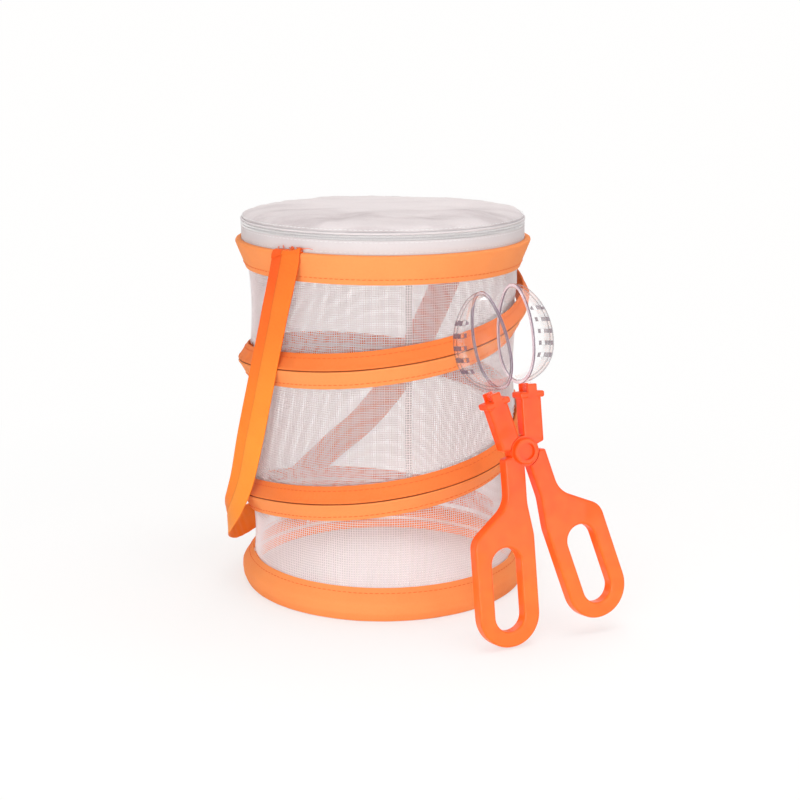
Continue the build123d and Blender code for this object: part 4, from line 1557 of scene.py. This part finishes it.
@dataclass
class PuffedLid(Assembly):
    """Sheer lid that stands up in a soft puff, with the piping round its edge.

    Attributes:
        thickness: thickness of the cloth.
        outline: radius and height of the puff from its edge to its middle.
        dimples: azimuth, distance from the middle, width and depth of each hollow.
        cut: width of the round of cloth before sewing, in metres; not used.
        highest: level that no fold goes past.
    """

    thickness: float = 0.35
    outline: tuple[tuple[float, float], ...] = (
        (71.0, 190.8), (70.6, 191.8), (69.3, 192.9), (66.5, 194.0), (61.6, 195.1), (54.0, 196.3), (46.2, 196.9),
        (34.0, 196.8), (21.6, 196.2), (10.0, 195.8), (0.0, 195.6),
    )
    dimples: tuple[tuple[float, float, float, float], ...] = (
        (8.0, 56.0, 9.0, 2.0), (26.0, 50.0, 11.0, 1.6), (-22.0, 55.0, 7.0, 1.7), (-52.0, 44.0, 12.0, 0.8),
        (70.0, 48.0, 14.0, 1.0), (120.0, 52.0, 10.0, 0.9), (165.0, 46.0, 14.0, 1.0), (-110.0, 54.0, 12.0, 1.1),
        (-150.0, 40.0, 13.0, 0.8), (40.0, 18.0, 14.0, 0.6), (-80.0, 20.0, 13.0, 0.5),
    )
    cut: float = 0.160
    highest: float = 198.0

    def build(self) -> list[bpy.types.Object]:
        """Makes the panel, the piping and the seam between them."""
        made = [self._panel(), self._piping(), self._edge_seam()]
        for piece in made:
            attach(piece, Body.LID.value)
        return made

    def _top(self, radius: Array, turn: Array) -> Array:
        """Height of the lid's outer face."""
        outline = np.array(self.outline)[::-1]
        base = np.interp(radius, outline[:, 0], outline[:, 1])
        share = radius / self.sizes.gusset
        back = 0.5 - 0.5 * np.cos(np.radians(turn))
        slope = 1.5 * back**2 * hump(share, 0.72, 0.3) - 0.7 * (1.0 - back) * hump(share, 0.75, 0.2)
        gathers = 0.3 * waves(turn, (17, 26, 38, 55), 61) * share**7 * (1.0 - hump(share, 1.0, 0.03))
        folds = 0.38 * waves(turn + 40.0 * share, (4, 7, 11), 62) * share**2 * (1.0 - share**10)
        x, y = radius * np.sin(np.radians(turn)), -radius * np.cos(np.radians(turn))
        crumple = 0.22 * (np.sin(x / 6.1 + 1.2 * np.sin(y / 9.0)) + np.sin(y / 7.3 + 1.4 * np.sin(x / 8.2 + 1.0)))
        drapes = 0.75 * np.sin((y + 5.0 * np.sin(x / 21.0)) / 2.9) * hump(y, -42.0, 17.0)
        drapes = drapes * (0.6 + 0.4 * np.sin(x / 13.0))
        result = base - slope + gathers + folds + (crumple + drapes) * (1.0 - share**10)
        for azimuth, far, width, depth in self.dimples:
            angle = math.radians(azimuth)
            centre = (far * math.sin(angle), -far * math.cos(angle))
            result = result - depth * np.exp(-((x - centre[0]) ** 2 + (y - centre[1]) ** 2) / width**2)
        return np.minimum(result, self.highest)

    def _panel(self) -> bpy.types.Object:
        """Puffed panel of sheer cloth."""
        s = self.sizes
        turn = azimuths(300)
        share = np.linspace(0.0, 1.0, 56)
        edge = s.gusset - 0.55
        radii = edge - edge * share**1.5
        radius = np.repeat(radii[None], len(turn), axis=0)
        height = self._top(radius, turn[:, None])
        bulge = 0.3 * waves(turn, (9, 15, 27), 63)[:, None] * hump(height, 192.5, 1.6)
        height[:, 0] = s.lid_bottom + 0.1
        swollen = radius + bulge * (radius > 60.0)
        outer = polar(swollen, turn[:, None], height)
        within = np.maximum(swollen - self.thickness * share[::-1][None] ** 3, 0.0)
        inner = polar(within, turn[:, None], height - self.thickness * (0.15 + 0.85 * share[None] ** 0.5))
        made = grid_object("lid_panel_cloth", two_faced(outer, inner), self.finishes.lid_fabric)
        weld(made)
        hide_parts("lid_panel")
        return made

    def _piping(self) -> bpy.types.Object:
        """Corded edge of the lid, its cloth drawn in by the seam."""
        s = self.sizes
        turn = azimuths(640)
        angle = np.linspace(0.0, 2.0 * math.pi, 12, endpoint=False)
        half = s.piping_bead / 2
        stitched = 0.05 * np.sin(np.radians(turn)[:, None] * 173.0 + angle[None])
        pull = 1.0 + stitched + 0.04 * waves(turn, (21, 33), 65)[:, None]
        radius = s.coil + half * pull * np.cos(angle)[None]
        height = s.piping + half * pull * np.sin(angle)[None]
        made = grid_object("lid_edge_piping", polar(radius, turn[:, None], height), self.finishes.white_fabric)
        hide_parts("lid_piping")
        return made

    def _edge_seam(self) -> bpy.types.Object:
        """Stitches that hold the panel to its piping."""
        s = self.sizes
        turn = azimuths(720)
        path = polar(s.gusset - 0.6, turn, np.full_like(turn, s.lid_bottom + 1.0))
        made = self.white.seam("lid_edge_seam", path, seed=12)
        return made


@dataclass
class CarryStrap(Assembly):
    """Ribbon strap sewn to the rim at both ends and slung round the cage's back.

    Attributes:
        width: width of the ribbon.
        thickness: its thickness.
        outside: radius at which it hangs clear of the rim.
        bulge: how far it stands out where the way's second value is 1.
        ends: azimuths of its two ends.
        fold: radius and height of its points on the rim, from an end outwards.
        way: azimuth, share of the bulge and share of the rim's height of its other points.
        crease_line: distance of the crease from the ribbon's middle.
        settle: length over which the ribbon leaves the rim's shape at each end.
        loose_threads: how many threads stand out at the cut end.
    """

    width: float = 16.0
    thickness: float = 0.55
    outside: float = 75.7
    bulge: float = 6.2
    ends: tuple[float, float] = (-36.5, -216.0)
    fold: tuple[tuple[float, float], ...] = ((72.4, 181.0), (74.6, 181.0), (75.6, 180.2), (75.7, 178.0))
    way: tuple[tuple[float, float, float], ...] = (
        (-38.4, 0.015, 0.932), (-41.5, 0.03, 0.854), (-45.0, 0.05, 0.765), (-51.0, 0.14, 0.621),
        (-58.0, 0.26, 0.471), (-64.0, 0.5, 0.344), (-68.5, 0.85, 0.272), (-73.0, 1.1, 0.225),
        (-80.0, 1.1, 0.187), (-89.0, 0.85, 0.153), (-99.0, 0.55, 0.127), (-113.0, 0.3, 0.122),
        (-130.0, 0.2, 0.153), (-145.0, 0.15, 0.212), (-158.0, 0.13, 0.282), (-172.0, 0.095, 0.366),
        (-187.0, 0.08, 0.51), (-197.0, 0.065, 0.654), (-206.0, 0.05, 0.799), (-213.6, 0.015, 0.932),
    )
    crease_line: float = 2.7
    settle: float = 25.0
    loose_threads: int = 22

    def _route(self) -> tuple[Array, Array]:
        """Middle line of the ribbon and the direction its face looks in at each point."""
        route = [(self.ends[0], radius, height) for radius, height in self.fold]
        route += [(az, self.outside + out * self.bulge, up * self.sizes.rim_top) for az, out, up in self.way]
        route += [(self.ends[1], radius, height) for radius, height in self.fold[::-1]]
        table = np.array(route)
        points = polar(table[:, 1], table[:, 0], table[:, 2])
        turned = 24.0 * hump(table[:, 0], -60.0, 13.0)
        faces = polar(1.0, table[:, 0] + turned, np.zeros(len(table)))
        lift = np.zeros(len(table))
        lift[[0, 1, -2, -1]] = 1.0
        lift[[2, -3]] = 0.5
        return points, unit(faces * (1.0 - lift)[:, None] + UP * lift[:, None])

    @staticmethod
    def _smooth(points: Array, count: int) -> Array:
        """Points on a smooth line through the given ones, a fixed number for each run."""
        padded = np.concatenate([2 * points[:1] - points[1:2], points, 2 * points[-1:] - points[-2:-1]])
        part = np.linspace(0.0, 1.0, count, endpoint=False)[:, None]
        runs = []
        for a, b, c, d in zip(padded, padded[1:], padded[2:], padded[3:]):
            square = (2 * a - 5 * b + 4 * c - d) * part**2
            cube = (3 * b - a - 3 * c + d) * part**3
            runs.append(0.5 * (2 * b + (c - a) * part + square + cube))
        return np.concatenate([*runs, points[-1:]])

    def build(self) -> list[bpy.types.Object]:
        """Makes the ribbon, the seams at its ends and its loose threads."""
        points, faces = self._route()
        line, face = self._smooth(points, 14), self._smooth(faces, 14)
        way = unit(np.gradient(line, axis=0))
        side = unit(np.cross(way, face))
        face = np.cross(side, way)
        far = distances(line)
        across = np.linspace(-self.width / 2, self.width / 2, 21)
        past = across - self.crease_line
        crease = -0.42 * hump(past, 0.0, 0.45)
        flap = np.clip(2.0 - 3.0 * far / far[-1], 0.0, 1.0)[:, None] * (0.07 * past * (past > 0))[None]
        selvedge = 0.1 * (np.abs(np.abs(across) - 7.4) < 0.5)
        low = float(far[np.argmin(line[:, 2])])
        folds = 0.4 * np.sin((far[:, None] - low + across[None] * 0.7) / 2.4)
        folds = folds * hump(far, low - 12.0, 16.0)[:, None]
        swell = 0.18 * np.sin(far / 9.0)[:, None] * np.cos(across / 5.0)[None]
        swell = swell + 0.15 * np.sin(far / 23.0)[:, None]
        from_end = np.minimum(far, far[-1] - far)
        free = np.clip(from_end / self.settle, 0.0, 1.0)[:, None]
        relief = (np.abs(folds) + np.abs(swell)) * free + ((crease + selvedge)[None] + flap) * (0.3 + 0.7 * free)
        cling = np.clip(1.6 - from_end / 40.0, 0.0, 1.0)[:, None]
        relief = relief - cling * (across**2 / (2 * self.outside))[None]
        spread = line[:, None] + side[:, None] * across[None, :, None]
        top = spread + face[:, None] * (relief + self.thickness / 2)[..., None]
        under = spread + face[:, None] * (relief - self.thickness / 2)[..., None]
        ribbon = self.finishes.orange_ribbon
        fold = int(np.argmin(np.abs(past)))
        cloth = grid_object("carry_strap_ribbon", two_faced(top, under), ribbon, ring=False, fold=fold)
        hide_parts("carry_strap")
        seams = []
        for row in (12, 18, len(line) - 13, len(line) - 19):
            path = spread[row] + face[row] * (self.thickness / 2 + 0.1) + face[row] * relief[row][:, None]
            seams.append(self.orange.seam(f"strap_end_{row}", path[2:-2], ring=False, seed=row))
        seam = joined("carry_strap_stitches", seams)
        fray = self._fray(line[0] + face[0] * self.thickness / 2, side[0])
        return [collapses(piece) for piece in (cloth, seam, fray)]

    def _fray(self, start: Array, side: Array) -> bpy.types.Object:
        """Loose threads at the ribbon's cut end on the rim.

        Args:
            start: middle of the cut end.
            side: direction across the ribbon, towards its left edge.

        Returns:
            The threads as one piece.
        """
        chance = np.random.default_rng(19)
        tree = tube_tree("loose_thread", self.finishes.orange_thread)
        part = np.linspace(0.0, 1.0, 10)[:, None]
        threads = []
        for index in range(self.loose_threads):
            foot = start + side * chance.uniform(-7.6, 7.6)
            lean, curl = chance.uniform(-2.4, 2.0), chance.uniform(-0.7, 0.7)
            rise = chance.uniform(0.5, 1.7)
            if index == 0:
                foot, lean, curl, rise = start - side * 7.6, -5.5, 0.8, 1.3
            path = foot + side * (lean * part + curl * np.sin(part * 5.0)) + UP * rise * np.sin(part * 2.4)
            mesh = line_mesh("loose_thread", path, False)
            threads.append(tree.grow(f"loose_thread_{index}", mesh, {"Wire": 0.13 * MM}))
        made = joined("carry_strap_fray", threads)
        return made


@dataclass(frozen=True)
class Tongs:
    """Scissor tongs with clear scoops; their solids keep their shapes.

    Attributes:
        pivot: middle of the pivot in millimetres.
        azimuth: side of the cage that they lean on.
        lean: how far they lean back in degrees.
        opened: angle from the closed levers to the modelled ones.
        play: angle between a closed lever and its scoop.
        arm_middle: distance of a scoop's arm from the middle line.
        arm_length: height of the scoop's root over the pivot.
        rim_gap: half of the gap between the closed rims.
        rim_height: height of a point of the rims over the pivot.
        vent_depth: least depth in the shell, in metres, at which a face is a vent's.
    """

    pivot: Point = (65.68, -83.10, 89.94)
    azimuth: float = 24.0
    lean: float = 10.4
    opened: float = 16.3
    play: float = 8.0
    arm_middle: float = 5.45
    arm_length: float = 27.6
    rim_gap: float = 0.4
    rim_height: float = 50.0
    vent_depth: float = 0.0125

    def _outward(self) -> Array:
        """Direction that the tongs' face looks in."""
        lean = math.radians(self.lean)
        return polar(math.cos(lean), self.azimuth, math.sin(lean))

    def scoop_planes(self) -> dict[str, Plane]:
        """Rim plane of each scoop.

        Returns:
            For each side, a point of the plane and the direction into the shell, in metres.
        """
        across = polar(1.0, self.azimuth + 90.0, 0.0)
        up = np.cross(self._outward(), across)
        pivot = np.array(self.pivot)

        def spun(x: float, y: float, angle: float) -> tuple[float, float]:
            """Point turned about the plane's origin."""
            turn = math.radians(angle)
            return x * math.cos(turn) - y * math.sin(turn), x * math.sin(turn) + y * math.cos(turn)

        right_point = pivot + across * self.rim_gap + up * self.rim_height
        x, y = spun(self.rim_gap - self.arm_middle, self.rim_height - self.arm_length, self.play)
        x, y = spun(-(x + self.arm_middle), y + self.arm_length, self.opened)
        left_point = pivot + across * x + up * y
        x, y = spun(-1.0, 0.0, self.opened - self.play)
        left_normal = across * x + up * y
        return {
            "right": (tuple(right_point * MM), tuple(across)),
            "left": (tuple(left_point * MM), tuple(left_normal)),
        }

    def paint_vent_shade(self, scoop: bpy.types.Object, plane: Plane, material: bpy.types.Material) -> None:
        """Paints shade on the cut walls of a scoop's vents, for the dark look of a thick clear edge.

        Args:
            scoop: the scoop's solid.
            plane: a point of its rim plane, on the scoop's long axis, and the direction into the shell.
            material: painted shade of the cut walls.
        """
        point, into = np.array(plane[0]), np.array(plane[1])
        mesh = scoop.data
        mesh.materials.append(material)
        count = len(mesh.polygons)
        centres, normals = np.empty(count * 3), np.empty(count * 3)
        mesh.polygons.foreach_get("center", centres)
        mesh.polygons.foreach_get("normal", normals)
        arms = centres.reshape(-1, 3) - point
        axis = np.cross(self._outward(), into)
        spokes = unit(arms - np.outer(arms @ axis, axis))
        deep = arms @ into > self.vent_depth
        cut = np.abs((normals.reshape(-1, 3) * spokes).sum(axis=1)) < 0.5
        index = np.empty(count, dtype=np.int32)
        mesh.polygons.foreach_get("material_index", index)
        index[deep & cut] = len(mesh.materials) - 1
        mesh.polygons.foreach_set("material_index", index)
        log.info("%s: %d vent faces", scoop.name, int((deep & cut).sum()))


@dataclass(frozen=True)
class Studio:
    """Pale floor, soft light and the photograph's camera.

    Attributes:
        lamps: name, place, width and power of each square lamp.
        aim: point that they are turned to.
        inner_place: place of the round lamp in the cage.
        inner_width: its width.
        inner_power: its power.
        white: colour of the surround.
        surround: strength of the surround as a light.
        floor_colour: colour of the floor.
        floor_white: share of the surround's white that the floor shows by the cage.
        floor_reach: distances at which it starts to be whiter and is wholly white.
        floor_half: half of the floor's width.
        camera_place: place of the camera.
        camera_dip: angle by which it looks down in degrees.
        lens: its focal length in millimetres.
        sensor: width of its sensor in millimetres.
    """

    lamps: tuple[tuple[str, Point, float, float], ...] = (
        ("key_light", (-0.35, -1.0, 0.3), 0.6, 4.2),
        ("fill_light", (0.8, -0.8, 0.25), 0.6, 2.6),
        ("low_light", (-0.1, -0.9, 0.05), 0.5, 3.0),
        ("top_light", (0.1, 0.1, 1.1), 0.9, 7.0),
    )
    aim: Point = (0.0, 0.0, 0.1)
    inner_place: Point = (0.0, 0.0, 0.045)
    inner_width: float = 0.11
    inner_power: float = 0.06
    white: Colour = (1.0, 0.995, 0.99)
    surround: float = 0.5
    floor_colour: Colour = (0.93, 0.925, 0.92)
    floor_white: float = 0.62
    floor_reach: tuple[float, float] = (0.1, 0.42)
    floor_half: float = 6.0
    camera_place: Point = (0.00867, -0.7533, 0.2784)
    camera_dip: float = 13.75
    lens: float = 66.8
    sensor: float = 36.0

    def build(self) -> None:
        """Sets the scene."""
        self._world()
        self._floor()
        for name, place, width, power in self.lamps:
            lamp = self._lamp(name, "SQUARE", place, width, power)
            way = np.array(self.aim) - np.array(place)
            flat = math.hypot(way[0], way[1])
            lamp.rotation_euler = (math.pi / 2 + math.atan2(way[2], flat), 0.0, math.atan2(-way[0], way[1]))
        inner = self._lamp("inner_light", "DISK", self.inner_place, self.inner_width, self.inner_power)
        inner.visible_camera = False
        self._camera()

    def _world(self) -> None:
        """Even pale surround, brighter where it is seen than where it lights."""
        tree = ShaderTree(bpy.data.worlds.new("studio_surround"))
        path = tree.node("ShaderNodeLightPath", output="Is Camera Ray")
        seen = path.greatest(path.part("Is Transmission Ray")).greatest(path.part("Is Glossy Ray"))
        strength = tree.node("ShaderNodeMapRange", {}, {"Value": seen, "To Min": self.surround, "To Max": 1.0})
        light = tree.node("ShaderNodeBackground", {}, {"Color": self.white, "Strength": strength})
        bpy.context.scene.world = tree.close(light, "ShaderNodeOutputWorld")

    def _floor(self) -> None:
        """Large pale floor that keeps the shadow."""
        tree = ShaderTree.named("studio_floor")
        grain = tree.mottle(9.0, 2.0)
        colour = tree.scaled(self.floor_colour, 0.99 + grain * 0.02)
        ground = tree.surface(base_color=colour, roughness=0.75, specular_ior_level=0.2)
        glow = tree.node("ShaderNodeEmission", {}, {"Color": self.white, "Strength": 1.0})
        path = tree.node("ShaderNodeLightPath", output="Is Camera Ray")
        far = tree.vector("LENGTH", tree.place(), output="Value")
        white = self.floor_white + (1.0 - self.floor_white) * far.step(*self.floor_reach)
        material = tree.close(tree.blend_shaders(path * white, ground, glow))
        mesh = bpy.data.meshes.new("studio_floor")
        corners = ((-1, -1), (1, -1), (1, 1), (-1, 1))
        places = [(x * self.floor_half, y * self.floor_half, 0.0) for x, y in corners]
        mesh.from_pydata(places, [], [(0, 1, 2, 3)])
        finished_object("studio_floor", mesh, material)

    @staticmethod
    def _lamp(name: str, shape: str, place: Point, width: float, power: float) -> bpy.types.Object:
        """Soft lamp that shines straight down."""
        data = bpy.data.lights.new(name, "AREA")
        data.shape = shape
        data.size = width
        data.energy = power
        lamp = bpy.data.objects.new(name, data)
        lamp.location = place
        bpy.context.scene.collection.objects.link(lamp)
        return lamp

    def _camera(self) -> None:
        """Camera at the photograph's view."""
        data = bpy.data.cameras.new("photo_view")
        data.sensor_width = self.sensor
        data.lens = self.lens
        camera = bpy.data.objects.new("photo_view", data)
        camera.location = self.camera_place
        camera.rotation_euler = (math.radians(90.0 - self.camera_dip), 0.0, 0.0)
        bpy.context.scene.collection.objects.link(camera)
        bpy.context.scene.camera = camera


def dress_solids(nodes: dict[str, bpy.types.Object], finishes: Finishes, tongs: Tongs) -> None:
    """Gives the solids that stay visible their finishes.

    Args:
        nodes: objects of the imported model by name.
        finishes: all finishes.
        tongs: sizes of the tongs.
    """
    table = {
        "base_hoop": finishes.steel,
        "rim_hoop": finishes.steel,
        "zip_end_stops": finishes.coil,
        "zip_slider": finishes.enamel,
        "zip_pull": finishes.enamel,
        "tong_lever_right": finishes.orange_plastic,
        "tong_lever_left": finishes.orange_plastic,
        "tong_pivot_pin": finishes.orange_plastic,
        "tong_scoop_right": finishes.scoops["right"],
        "tong_scoop_left": finishes.scoops["left"],
    }
    for name, material in table.items():
        for place in nodes[name].material_slots:
            place.material = material
    for side, plane in tongs.scoop_planes().items():
        tongs.paint_vent_shade(nodes[f"tong_scoop_{side}"], plane, finishes.vent_painted_shade)


def main() -> None:
    """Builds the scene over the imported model."""
    logging.basicConfig(level=logging.INFO, format="%(message)s")
    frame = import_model()
    bpy.context.scene.view_settings.view_transform = "Standard"
    sizes = CageSizes()
    tongs = Tongs()
    finishes = Finishes(tongs.scoop_planes())
    orange = Sewing(finishes.orange_thread)
    white = Sewing(finishes.white_thread, thread=0.3, pitch=2.4, length=1.9)
    for kind in (BaseRing, SpiralWall, RimRing, ZipFastener, PuffedLid, CarryStrap):
        for piece in kind(sizes, finishes, orange, white).build():
            log.info("%s: %s, %d faces", kind.__name__, piece.name, len(piece.data.polygons))
    dress_solids(frame["nodes"], finishes, tongs)
    Studio().build()


if __name__ == "__main__":
    main()
